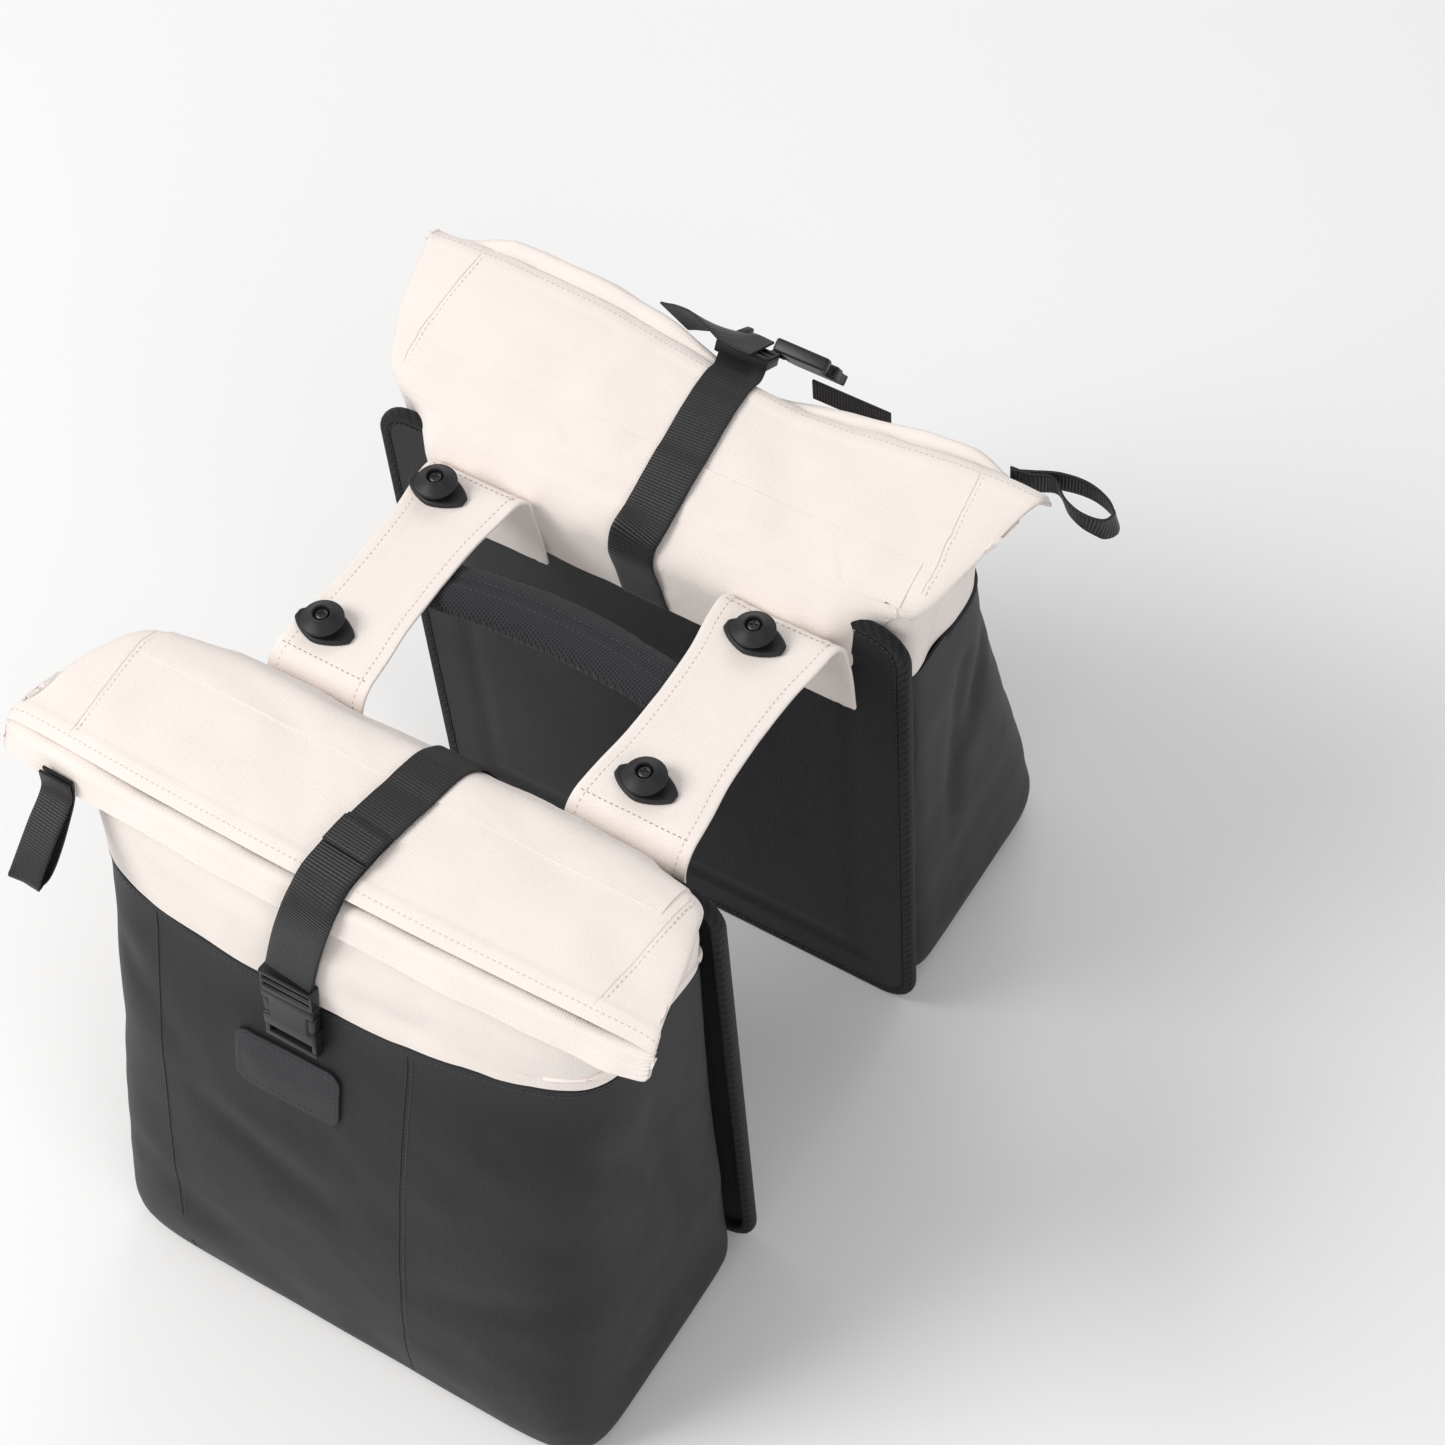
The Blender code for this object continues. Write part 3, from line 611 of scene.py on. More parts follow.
def rollPoint(angle, row, side):
    backOut, upRight, upLeft, frontOut, frontUp, spread, frontSquare, backSquare, sideShare = row
    backUp = upRight if side == "right" else upLeft
    towardsBack = math.sin(angle) > 0
    across, share = squircle(angle, backSquare if towardsBack else frontSquare)
    u = across * lerp(bag["width"], bag["mouthWidth"], spread) / 2
    sag = bag["sag"][side]
    if side == "left":
        # the slack front layer stands up behind the hem, on both sides of the buckle
        loose = smoothStep(0.93, 1.0, spread) * (1 - math.exp(-((u + 0.020) / 0.050) ** 2))
        loose *= 1 - smoothStep(0.150, 0.195, abs(u))
        frontOut += 0.08 * loose
        frontUp += 0.38 * loose
    back = Vector((u, -bag["back"] - backOut * bag["foldReach"], bag["top"] + backUp * bag["foldRise"]))
    front = Vector((u, -bag["back"] - frontOut * bag["foldReach"],
                    bag["top"] + frontUp * bag["foldRise"]))
    back, front = sunk(back, spread, sag, False), sunk(front, spread, sag, True)
    return back.lerp(front, sideShare).lerp(back if towardsBack else front, abs(share))


def seamHeight(angle):
    # the colour seam rises towards both sides, more to +x
    across = math.cos(angle)
    rise = 0.016 + 0.014 * across * across + 0.0085 * across
    return bag["seam"] + 0.010 * bag["top"] * math.sin(angle) + rise


ringAngles = [math.tau * step / ringSteps for step in range(ringSteps)]


def lowerGrid(side):
    rows = []
    for share in (0.15, 0.4, 0.65, 0.85, 0.96):  # the floor, from its middle out
        rows.append([Vector((p.x * share, lerp(-0.18, p.y, share), 0.0)) for p in
                     (bodyPoint(angle, 0.0) for angle in ringAngles)])
    steps = 52
    for step in range(steps + 1):
        share = (step / steps) ** 1.15
        rows.append([bodyPoint(angle, share * seamHeight(angle)) for angle in ringAngles])
    return rows


lowerCreases = {
    "right": [
        ((-0.10, -0.262, 0.20), (0.02, -0.258, 0.155), 0.012, -0.0030),
        ((0.172, -0.215, 0.29), (0.174, -0.175, 0.20), 0.012, -0.0045),
        ((0.172, -0.170, 0.30), (0.174, -0.155, 0.13), 0.010, -0.0040),
        ((0.05, -0.262, 0.11), (0.15, -0.258, 0.16), 0.014, -0.0030),
        ((-0.172, -0.20, 0.29), (-0.174, -0.16, 0.18), 0.012, -0.0045),
        ((-0.15, -0.258, 0.10), (-0.06, -0.270, 0.06), 0.013, -0.0026),
        ((0.10, -0.225, 0.285), (0.155, -0.215, 0.235), 0.010, -0.0026),
        ((-0.155, -0.225, 0.27), (-0.10, -0.232, 0.235), 0.011, -0.0024),
    ],
}
lowerCreases["left"] = [((-a[0], a[1], a[2] * 0.97), (-b[0], b[1], b[2] * 0.97), w, h)
                        for a, b, w, h in lowerCreases["right"]]


def lowerBody(side):
    grid = lowerGrid(side)
    seed = 1 if side == "right" else 5

    def depthAt(point):
        held = smoothStep(0.0, 0.03, point.z) * smoothStep(0.0, 0.035, bag["seam"] - point.z)
        outside = 1.0 if point.y < -0.115 else 0.15
        wide = crumple(point, seed, 0.110, 0.0020) + crumple(point, seed + 2, 0.034, 0.0008)
        return held * outside * (wide + creaseDepth(point, lowerCreases[side]))

    grid = pushed(grid, True, depthAt)
    for row in grid:
        for point in row:
            point.z = max(point.z, 0.0)
    bm = gridMesh(inWorld(side, grid), closed=True)
    bm.verts.ensure_lookup_table()
    bm.faces.new(list(reversed(bm.verts[:ringSteps])))
    piece = newObject(f"{side}LowerBody", bm)
    thicken(piece, bag["fabric"])
    applyModifiers(piece)
    return settle(piece, "coated", (f"{side}_lower_shell",), 50)


upperCreases = {
    "right": [
        ((0.185, -0.215, 0.405), (0.165, -0.235, 0.372), 0.009, -0.0050),
        ((0.165, -0.222, 0.385), (0.150, -0.228, 0.335), 0.010, 0.0035),
        ((0.175, -0.180, 0.385), (0.172, -0.150, 0.335), 0.012, -0.0045),
        ((0.145, -0.150, 0.425), (0.185, -0.180, 0.418), 0.012, -0.0025),
        ((-0.175, -0.190, 0.395), (-0.168, -0.215, 0.350), 0.010, -0.0050),
        ((-0.172, -0.160, 0.385), (-0.172, -0.130, 0.330), 0.012, -0.0040),
        ((0.020, -0.225, 0.352), (0.100, -0.222, 0.340), 0.010, -0.0022),
        ((-0.120, -0.112, 0.420), (-0.060, -0.130, 0.424), 0.012, -0.0020),
        ((0.060, -0.118, 0.421), (0.120, -0.140, 0.424), 0.013, -0.0020),
    ],
    "left": [
        ((0.185, -0.215, 0.405), (0.165, -0.235, 0.372), 0.009, -0.0050),
        ((0.175, -0.180, 0.385), (0.172, -0.150, 0.335), 0.012, -0.0045),
        ((-0.175, -0.190, 0.395), (-0.168, -0.215, 0.350), 0.010, -0.0050),
        ((-0.100, -0.120, 0.405), (-0.040, -0.180, 0.415), 0.016, -0.0025),
        ((0.090, -0.115, 0.403), (0.060, -0.190, 0.416), 0.016, -0.0022),
        ((-0.172, -0.160, 0.385), (-0.172, -0.130, 0.330), 0.012, -0.0040),
    ],
}


def upperGrid(side):
    columns = []
    for angle in ringAngles:
        line = [bodyPoint(angle, seamHeight(angle) + 0.0003)]
        for height in (0.86, 0.90, 0.955):
            line.append(bodyPoint(angle, max(height * bag["top"], seamHeight(angle) + 0.01)))
        line += [rollPoint(angle, row, side) for row in rollRows]
        keys = list(range(len(line)))
        steps = 64
        column = []
        for step in range(steps + 1):
            column.append(Vector(hermite(keys, line, keys[-1] * step / steps)))
        columns.append(column)
    return [list(row) for row in zip(*columns)]


def upperBody(side):
    grid = upperGrid(side)
    edges = grid[-1]
    seed = 11 if side == "right" else 17

    def depthAt(point):
        low = smoothStep(0.0, 0.02, point.z - bag["seam"])
        wide = crumple(point, seed, 0.070, 0.0022) + crumple(point, seed + 3, 0.024, 0.0007)
        held = 1.0 if point.y < -0.108 or point.z > 0.40 else 0.1
        return low * held * (wide + creaseDepth(point, upperCreases[side]))

    grid = pushed(grid, True, depthAt)
    hemmed = []
    for i, row in enumerate(grid):
        moved = []
        for j, point in enumerate(row):
            away = (point - edges[j]).length
            raised = bag["hemThick"] * (1 - smoothStep(bag["hem"], bag["hem"] + 0.002, away))
            moved.append(point + gridNormal(grid, i, j, True) * raised)
        hemmed.append(moved)
    grid = inWorld(side, hemmed)
    piece = newObject(f"{side}UpperBody", gridMesh(grid, closed=True))
    thicken(piece, bag["fabric"], even=False)
    applyModifiers(piece)
    settle(piece, "canvas", (f"{side}_upper_shell",), 50)
    return piece, grid


yoke = {
    # the canvas that turns over the board's top onto the rack side: out, height
    "right": [(0.1330, 0.4222), (0.1230, 0.4216), (0.1120, 0.4192), (0.1030, 0.4142), (0.0955, 0.4060),
              (0.0912, 0.3960), (0.0893, 0.3840), (0.0890, 0.3680), (0.0892, 0.3500), (0.0896, 0.3300)],
    "left": [(0.1330, 0.4092), (0.1210, 0.4072), (0.1100, 0.4046), (0.0990, 0.4014), (0.0895, 0.3962),
             (0.0835, 0.3880), (0.0822, 0.3760), (0.0838, 0.3620), (0.0862, 0.3460), (0.0885, 0.3300)],
    "half": 0.166, "from": 0.128, "thick": 0.0016,
}


def yokeSheet(side, tree):
    # it comes out of the top layer without a step and turns in over the binding at both ends
    profile = smoothPath([(0.0, v, z) for v, z in yoke[side]], 40)
    seed = 23 if side == "right" else 29
    grid = []
    columns = 120
    for point in profile:
        row = []
        for column in range(columns + 1):
            u = yoke["half"] * (2 * column / columns - 1)
            end = smoothStep(yoke["from"], yoke["half"], abs(u))
            v = lerp(point.y, max(point.y, 0.1012), end)
            z = lerp(point.z, max(point.z, 0.3935), end)
            row.append(Vector((u, -v, z)))
        grid.append(row)
    for i, row in enumerate(grid):
        rise = smoothStep(0, 9, i)
        for j, point in enumerate(row):
            wave = crumple(point, seed, 0.055, 0.0020) + crumple(point, seed + 1, 0.022, 0.0007)
            ending = smoothStep(yoke["from"], yoke["half"], abs(point.x))
            outward = Vector((0, 1, 0.6)).normalized()
            row[j] = point + outward * wave * rise * (1 - ending)
    world = inWorld(side, grid)
    for i, row in enumerate(world):
        emerging = smoothStep(7, 24, i)
        for j, point in enumerate(row):
            ending = smoothStep(yoke["from"], yoke["half"] - 0.004, abs(grid[i][j].x))
            free = emerging * (1 - ending)
            if free < 1:
                place, normal, _, _ = tree.find_nearest(point)
                rise = lerp(-0.0007, 0.0006, smoothStep(0, 20, i) * (1 - ending))
                row[j] = (place + normal * rise).lerp(point, free)
    piece = newObject(f"{side}Yoke", gridMesh(world, flipped=True))
    thicken(piece, yoke["thick"], even=False)
    applyModifiers(piece)
    return settle(piece, "canvas", (), 50)


bodies = {}
for bagSide in ("right", "left"):
    lower = lowerBody(bagSide)
    upper, upperPoints = upperBody(bagSide)
    yokePiece = yokeSheet(bagSide, treeOf(upper))
    bodies[bagSide] = {"lower": treeOf(lower), "upper": treeOf(upper), "yoke": treeOf(yokePiece),
                       "grid": upperPoints}
    print(bagSide, "bag body made")


# Seams and stitches on the bags

seams = {
    "front": [(-0.1166, -0.113), (0.058, 0.048)],  # across at the top and at the floor
    "gusset": [(0.174, 0.106), (0.166, 0.196)],  # across and out, at the ridge and at the mouth
    "hemStitch": 0.0065, "frontStitch": 0.0035, "gussetStitch": 0.003,
    "ridgeBelow": 0.0022, "stitchBelow": 0.0062,  # under the colour seam
}


def hemLine(side, angles, inset):
    # along the mouth at this distance from its edge
    grid = bodies[side]["grid"]
    line = []
    for j in angles:
        column = [row[j % ringSteps] for row in grid]
        walked = 0.0
        for i in range(len(column) - 1, 0, -1):
            step = (column[i] - column[i - 1]).length
            if walked + step >= inset:
                share = (inset - walked) / step
                line.append(column[i].lerp(column[i - 1], share))
                break
            walked += step
    return onto(bodies[side]["upper"], line)


def bagSeams(side):
    upper, lower = bodies[side]["upper"], bodies[side]["lower"]
    half = ringSteps // 2
    hems = [hemLine(side, range(4, half - 3), seams["hemStitch"]),
            hemLine(side, range(half + 3, ringSteps - 2), seams["hemStitch"])]
    stitches(f"{side}HemStitches", hems, "paleThread")
    aside = []
    for index, (top, bottom) in enumerate(seams["front"]):
        down = []
        for step in range(46):
            z = lerp(0.010, bag["seam"] + 0.008, step / 45)
            u = lerp(bottom, top, z / bag["top"])
            down.append(toWorld(side, (u, -frontAt(u, z), z)))
        line = onto(lower, down)
        ridge(f"{side}FrontSeamLow{index}", line, 0.0008, "coated")
        aside.append([(place + Vector((seams["frontStitch"], 0, 0)), normal) for place, normal in line])
    stitches(f"{side}FrontStitchesLow", aside, "darkThread")
    aside = []
    (ridgeU, ridgeV), (mouthU, mouthV) = seams["gusset"]
    above = 0.430  # over the fold, from where the line drops onto it
    for end in (-1, 1):
        points = []
        for step in range(25):
            v = lerp(ridgeV, mouthV, step / 24)
            points.append(toWorld(side, (end * lerp(ridgeU, mouthU, step / 24), -v, above)))
        line = onto(upper, points)
        ridge(f"{side}GussetSeam{end + 1}", line, 0.0008, "canvas")
        aside.append([(place + Vector((seams["gussetStitch"], 0, 0)), normal) for place, normal in line])
    stitches(f"{side}GussetStitches", aside, "paleThread")

    def underSeam(angles, below):
        points = [bodyPoint(angle, seamHeight(angle) - below) for angle in angles]
        return onto(lower, [toWorld(side, point) for point in points])

    around = ringAngles[half + 1:]
    ridge(f"{side}ColourSeam", underSeam(around + [0.0], seams["ridgeBelow"]), 0.0010, "coated")
    stitches(f"{side}ColourStitches", [underSeam(around, seams["stitchBelow"])], "darkThread")


for bagSide in ("right", "left"):
    bagSeams(bagSide)
print("seams made")


# Back panels and their binding

panel = {"gap": 0.186, "thick": 0.004, "binding": 0.008, "width": 0.356, "corner": 0.024,
         "frame": 0.030, "pressed": 0.0012}


def roundedHalf(z, low, high, halfWidth, radius):
    # half width of a rounded rectangle at this height
    near = min(z - low, high - z)
    if near >= radius:
        return halfWidth
    return halfWidth - radius + math.sqrt(max(radius ** 2 - (radius - near) ** 2, 0.0))


def backPanel(side):
    inset = panel["binding"] + 0.0003
    low, high, half = inset, bag["top"] - inset, panel["width"] / 2 - inset
    radius = panel["corner"] - inset
    rows = []
    steps = 72
    for step in range(steps + 1):
        z = lerp(low, high, (1 - math.cos(math.pi * step / steps)) / 2)
        reach = max(roundedHalf(z, low, high, half, radius), 0.02)
        row = []
        for column in range(61):
            u = reach * (2 * column / 60 - 1)
            edge = min(z - low, high - z, reach - abs(u))
            dip = panel["pressed"] * (1 - smoothStep(0.003, 0.009, abs(edge - panel["frame"])))
            swell = crumple((u, 0, z), 31, 0.09, 0.0004)
            row.append(Vector((u, -panel["gap"] / 2 - dip - 0.0004 + swell, z)))
        rows.append(row)
    piece = newObject(f"{side}BackPanel", gridMesh(inWorld(side, rows), flipped=True))
    thicken(piece, panel["thick"] - 0.0012)
    applyModifiers(piece)
    return settle(piece, "coated", (f"{side}_back_panel",), 40)


def bindingOutline(inset):
    points = []
    half, low, high = panel["width"] / 2 - inset, inset, bag["top"] - inset
    radius = panel["corner"] - inset
    corners = [(half - radius, low + radius, -90), (half - radius, high - radius, 0),
               (radius - half, high - radius, 90), (radius - half, low + radius, 180)]
    for u, z, turn in corners:
        for step in range(9):
            angle = math.radians(turn + 90 * step / 8)
            points.append(((u + radius * math.cos(angle), z + radius * math.sin(angle)),
                           (math.cos(angle), math.sin(angle))))
        if turn in (-90, 90):  # long side: points between the corners keep the ridges even
            sign = 1 if turn == -90 else -1
            for step in range(1, 24):
                z2 = lerp(low + radius, high - radius, step / 24 if sign > 0 else 1 - step / 24)
                points.append(((sign * half, z2), (sign, 0.0)))
        else:
            sign = 1 if turn == 0 else -1
            for step in range(1, 24):
                u2 = sign * lerp(half - radius, radius - half, step / 24)
                points.append(((u2, high if sign > 0 else low), (0.0, sign)))
    return points


def edgeBinding(side):
    # tape folded over the board's edge: a rounded section with three woven ridges
    half = panel["binding"] / 2
    grid = []
    for (u, z), (outU, outZ) in bindingOutline(half):
        ring = []
        for turn in range(24):
            angle = math.tau * turn / 24
            lobe = 1.0 - 0.035 * (0.5 + 0.5 * math.cos(angle * 6))
            across, out = squircle(angle, 3.2)
            ring.append(Vector((u + outU * out * half * lobe, -panel["gap"] / 2 - half
                                + across * half * lobe, z + outZ * out * half * lobe)))
        grid.append(ring)
    grid.append([point.copy() for point in grid[0]])
    bm = gridMesh(inWorld(side, grid), closed=True)
    bmesh.ops.remove_doubles(bm, verts=bm.verts, dist=0.00001)
    bmesh.ops.recalc_face_normals(bm, faces=bm.faces)
    piece = newObject(f"{side}EdgeBinding", bm)
    settle(piece, "tape", (f"{side}_edge_binding",), 60)
    seam = [toWorld(side, (u - outU * 0.0035, -panel["gap"] / 2 - 0.0001, z - outZ * 0.0035))
            for (u, z), (outU, outZ) in bindingOutline(half)]
    normal = toWorld(side, (0, 1, 0)) - toWorld(side, (0, 0, 0))
    stitches(f"{side}BindingStitches", [[(point, normal) for point in seam]], "darkThread")


for bagSide in ("right", "left"):
    backPanel(bagSide)
    edgeBinding(bagSide)
print("back panels made")


# Webbing

webbing = {
    "width": 0.030, "thick": 0.0015, "loop": 0.020, "seat": 0.0014, "clear": 0.0011,
    "spareEnd": 0.129, "spareGap": 0.006, "tabFoot": 0.286,
    "overHem": [(0.0052, -0.2115, 0.4195), (0.0020, -0.2165, 0.4075), (-0.0015, -0.2200, 0.3950),
                (-0.0060, -0.2225, 0.3790)],
}


def ribbonPiece(name, path, width, across, node, side):
    # a flat woven strip along a path; across is one direction or one for each point
    rows = []
    columns = 8
    for i, point in enumerate(path):
        direction = Vector(across[i] if isinstance(across, list) else across)
        along = alongPath(path, i)
        direction = (direction - along * direction.dot(along)).normalized()
        row = []
        for column in range(columns + 1):
            place = (column / columns - 0.5) * width
            row.append(point + direction * place)
        rows.append(row)
    piece = newObject(name, gridMesh(inWorld(side, rows)))
    thicken(piece, webbing["thick"], 0.0)
    rounded(piece, 0.0004, 2, 50)
    return settle(piece, "webbing", (node,) if node else (), 40), rows


def topLine(side, uAt, lift):
    # the outer line of the canvas from the rack side over the ridge to the mouth's edge
    line = []
    for v, z in reversed(yoke[side][3:]):
        line.append((v, z))
    for row in rollRows[2:]:
        backUp = row[1] if side == "right" else row[2]
        v, z = bag["back"] + row[0] * bag["foldReach"], bag["top"] + backUp * bag["foldRise"]
        if v > yoke[side][1][0]:
            point = sunk(Vector((uAt(v), -v, z)), row[5], bag["sag"][side], False)
            line.append((-point.y, point.z))
    dense = smoothPath([(0.0, v, z) for v, z in line], 60)
    lifted = []
    for i, point in enumerate(dense):
        along = alongPath(dense, i)
        lifted.append(Vector((uAt(point.y), -(point.y - along.z * lift), point.z + along.y * lift)))
    return lifted


def hangingFrame(place, down):
    across = Vector((-1, 0, 0))
    down = down.normalized()
    return Matrix.LocRotScale(place, Matrix((across, down, across.cross(down))).transposed(), None)


buckle = {"width": 0.0345, "thick": 0.008, "insert": 0.016, "socket": 0.040, "top": 0.347,
          "middle": -0.014}


def clearOf(side, path, lift, reach=0.03):
    # lifts a path off the bag wherever the fabric, seen from outside, comes closer than this
    cleared = []
    for i, point in enumerate(path):
        out = -Vector((1, 0, 0)).cross(alongPath(path, i))
        middle = toWorld(side, point)
        outWorld = toWorld(side, out) - shift
        best = -reach
        for across in (-0.013, 0.0, 0.013):
            start = middle + Vector((across, 0, 0)) + outWorld * reach
            for part in ("upper", "yoke", "lower"):
                place, _, _, distance = bodies[side][part].ray_cast(start, -outWorld, 2 * reach)
                if place is not None:
                    best = max(best, reach - distance)
        cleared.append(point + out * max(0.0, best + lift))
    return cleared


def smoothed(path, rounds):
    for _ in range(rounds):
        inner = [(a + b * 2 + c) / 4 for a, b, c in zip(path, path[1:], path[2:])]
        path = [path[0]] + inner + [path[-1]]
    return path


def rightStrap():
    def uAt(v):
        return lerp(0.016, 0.007, smoothStep(0.095, 0.205, v))

    high = Vector((buckle["middle"], -frontAt(buckle["middle"], buckle["top"]), buckle["top"]))
    lowZ = buckle["top"] - buckle["insert"] - buckle["socket"]
    low = Vector((buckle["middle"], -frontAt(buckle["middle"], lowZ), lowZ))
    place = hangingFrame(high, low - high) @ Matrix.Translation((0, 0, buckle["thick"] / 2 + 0.0012))
    over = topLine("right", uAt, webbing["seat"])
    end = place @ Vector((0, 0.004, 0))
    route = [tuple(p) for p in over[:-2:4]] + [tuple(Vector(p)) for p in webbing["overHem"]]
    route.append(tuple(end))
    path = smoothed(smoothPath(route, 110), 12)
    path = smoothed(clearOf("right", path, webbing["clear"]), 3)
    ribbonPiece("rightStrap", path, webbing["width"], (1, 0, 0), "right_strap", "right")
    lengths = pathLengths(path)
    tail = []
    for i, (point, length) in enumerate(zip(path, lengths)):
        if lengths[-1] - webbing["spareEnd"] < length < lengths[-1] - webbing["spareGap"]:
            up = Vector((1, 0, 0)).cross(alongPath(path, i)).normalized()
            out = up if up.y < 0 or up.z > 0 else -up
            tail.append(point + out * (webbing["thick"] + 0.0006) * (1.0 if out.z > -0.2 else -1.0))
    _, rows = ribbonPiece("rightStrapTail", smoothed(tail, 2), webbing["width"] * 0.985, (1, 0, 0),
                          "right_strap_tail", "right")
    return place, rows


rightPlace, rightTailRows = rightStrap()


def leftStrap():
    def uAt(v):
        back = lerp(-0.003, -0.011, smoothStep(0.070, 0.095, v))
        return back + lerp(0, 0.0045, smoothStep(0.10, 0.20, v))

    over = topLine("left", uAt, webbing["seat"])
    insertLow, insertHigh = cornersOf("left_buckle_insert")
    middle = (insertLow + insertHigh) / 2 - shift
    route = [tuple(p) for p in over[::4]] + [(-middle.x, 0.002 - middle.y, middle.z + 0.001)]
    path = smoothPath(route, 100)
    path = smoothed(clearOf("left", path, webbing["clear"]), 3)
    ribbonPiece("leftStrap", path, webbing["width"], (1, 0, 0), "left_strap", "left")


leftStrap()
print("straps made")


loops = {
    "reach": 0.085,
    "hanging": [(-0.398, -0.006, 0.150), (-0.400, 0.016, -0.010), (-0.405, 0.110, -0.200),
                (-0.412, 0.220, -0.400), (-0.420, 0.320, -0.560), (-0.424, 0.385, -0.600),
                (-0.421, 0.450, -0.565), (-0.413, 0.370, -0.400), (-0.406, 0.220, -0.200),
                (-0.400, 0.052, -0.008), (-0.398, 0.030, 0.152)],
    "sideways": [(-0.430, -0.006, 0.120), (-0.460, 0.062, 0.120), (-0.495, 0.132, 0.125),
                 (-0.535, 0.162, 0.110), (-0.570, 0.122, 0.085), (-0.586, 0.042, 0.075),
                 (-0.578, -0.048, 0.085), (-0.550, -0.078, 0.110), (-0.522, -0.038, 0.125),
                 (-0.490, 0.082, 0.125), (-0.460, 0.034, 0.125), (-0.430, 0.028, 0.120)],
    "tail": [(-0.30, 0.00, 0.00, -0.87, -0.50), (0.25, 0.01, 0.00, -0.87, -0.50),
             (0.70, 0.14, -0.10, -0.70, -0.70), (1.20, 0.26, -0.28, -0.50, -0.86),
             (1.60, 0.31, -0.44, -0.36, -0.93), (1.95, 0.33, -0.60, -0.28, -0.96)],
}


def hemPoint(u, side):
    row = rollRows[-1]
    point = Vector((u, -bag["back"] - row[3] * bag["foldReach"], bag["top"] + row[4] * bag["foldRise"]))
    return sunk(point, row[5], bag["sag"][side], True)


def pullLoop(side, rows, across):
    hem = hemPoint(rows[0][0] * bag["mouthWidth"], side)
    path = []
    for u, out, up in rows:
        path.append((u * bag["mouthWidth"], hem.y - 0.0014 - out * loops["reach"],
                     hem.z + up * loops["reach"]))
    ribbonPiece(f"{side}PullLoop", smoothPath(path, 72), webbing["loop"], across, f"{side}_pull_loop",
                side)


pullLoop("right", loops["hanging"], (1, 0, 0))
pullLoop("left", loops["sideways"], (0.1, 0.25, 1))


def localFrameOfLeft(node, lean):
    # a left-hand buckle half: its frame in the bag's own axes, from its packed box
    low, high = cornersOf(node)
    middle = (low + high) / 2 - shift
    middle = Vector((-middle.x, -middle.y, middle.z))
    angle = math.radians(lean)
    down = Vector((0, -math.sin(angle), -math.cos(angle)))
    length = buckle["insert"] if "insert" in node else buckle["socket"]
    return hangingFrame(middle - down * length / 2, down)


leftInsert = localFrameOfLeft("left_buckle_insert", 60)
leftSocket = localFrameOfLeft("left_buckle_socket", 30)


def leftTail():
    root = leftInsert @ Vector((0, buckle["insert"] / 2, buckle["thick"] / 2 + 0.0017))
    path, across = [], []
    for along, out, up, y, z in loops["tail"]:
        step = Vector((along, -out, up)) * webbing["width"]
        path.append(tuple(root + step))
        across.append((0, y, z))
    dense = smoothPath(path, 48)
    keys = list(range(len(across)))
    turned = [hermite(keys, across, keys[-1] * i / 48) for i in range(49)]
    ribbonPiece("leftStrapTail", dense, webbing["width"] * 0.98, turned, "left_strap_tail", "left")


leftTail()


def buckleTab(side):
    if side == "right":
        start = rightPlace @ Vector((0, buckle["insert"] + buckle["socket"] - 0.004, 0))
        path = []
        for step in range(4):
            z = lerp(start.z, webbing["tabFoot"], step / 3)
            lift = lerp(buckle["thick"] / 2, webbing["seat"], step / 3)
            path.append((buckle["middle"], -frontAt(buckle["middle"], z) - lift, z))
        dense = smoothPath(path, 16)
        ribbonPiece("rightBuckleTab", dense, webbing["width"], (1, 0, 0), "right_buckle_tab", "right")
        return
    low, high = cornersOf("left_buckle_tab")
    # it lies along the mouth's edge, away from the buckle, which it runs in behind
    middle = (low + high) / 2 - shift
    points = []
    for step in range(5):
        x = lerp(low.x - 0.012, high.x - 0.001, step / 4) - shift.x
        points.append((-x, -middle.y, middle.z - 0.005))
    path = clearOf("left", smoothPath(points, 16), 0.0015)
    ribbonPiece("leftBuckleTab", path, webbing["loop"] * 0.8, (0, 0, 1),
                "left_buckle_tab", "left")


buckleTab("right")
buckleTab("left")
print("loops, tails and tabs made")


# Buckles, made in their own frame: X across, Y down the strap, Z out

def addBox(size, place):
    deselectAll()
    bpy.ops.mesh.primitive_cube_add(size=1.0, location=place, scale=size)
    box = bpy.context.active_object
    bpy.ops.object.transform_apply(location=True, rotation=True, scale=True)
    return box


def cutAway(piece, cutter):
    makeActive(piece)
    cut = piece.modifiers.new("cut", "BOOLEAN")
    cut.operation = "DIFFERENCE"
    cut.object = cutter
    bpy.ops.object.modifier_apply(modifier=cut.name)
    bpy.data.objects.remove(cutter, do_unlink=True)


def joinInto(target, others):
    makeActive(target)
    for other in others:
        other.select_set(True)
    bpy.ops.object.join()


def taperEnd(piece, low, high, share):
    # narrows the piece across between two places along Y
    for vert in piece.data.vertices:
        amount = smoothStep(low, high, vert.co.y)
        vert.co.x *= lerp(1.0, share, amount)


def socketPiece(name, place, side):
    w, t, length = buckle["width"], buckle["thick"], buckle["socket"]
    body = addBox((w, length - 0.010, t), (0, (length - 0.010) / 2, 0))
    for turn in (-1, 1):
        cutAway(body, addBox((0.0070, 0.0130, t * 1.6), (turn * (w / 2 - 0.0010), 0.0135, 0)))
    rounded(body, 0.0016, 4)
    bars = [addBox((0.0030, 0.0120, t * 0.72), (turn * (w / 2 - 0.0018), length - 0.0060, 0))
            for turn in (-1, 1)]
    bars.append(addBox((w, 0.0034, t * 0.78), (0, length - 0.0017, 0)))
    joinInto(body, [rounded(bar, 0.0006, 2) for bar in bars])
    body.name = name
    finishBuckle(body, place, side, f"{side}_buckle_socket")


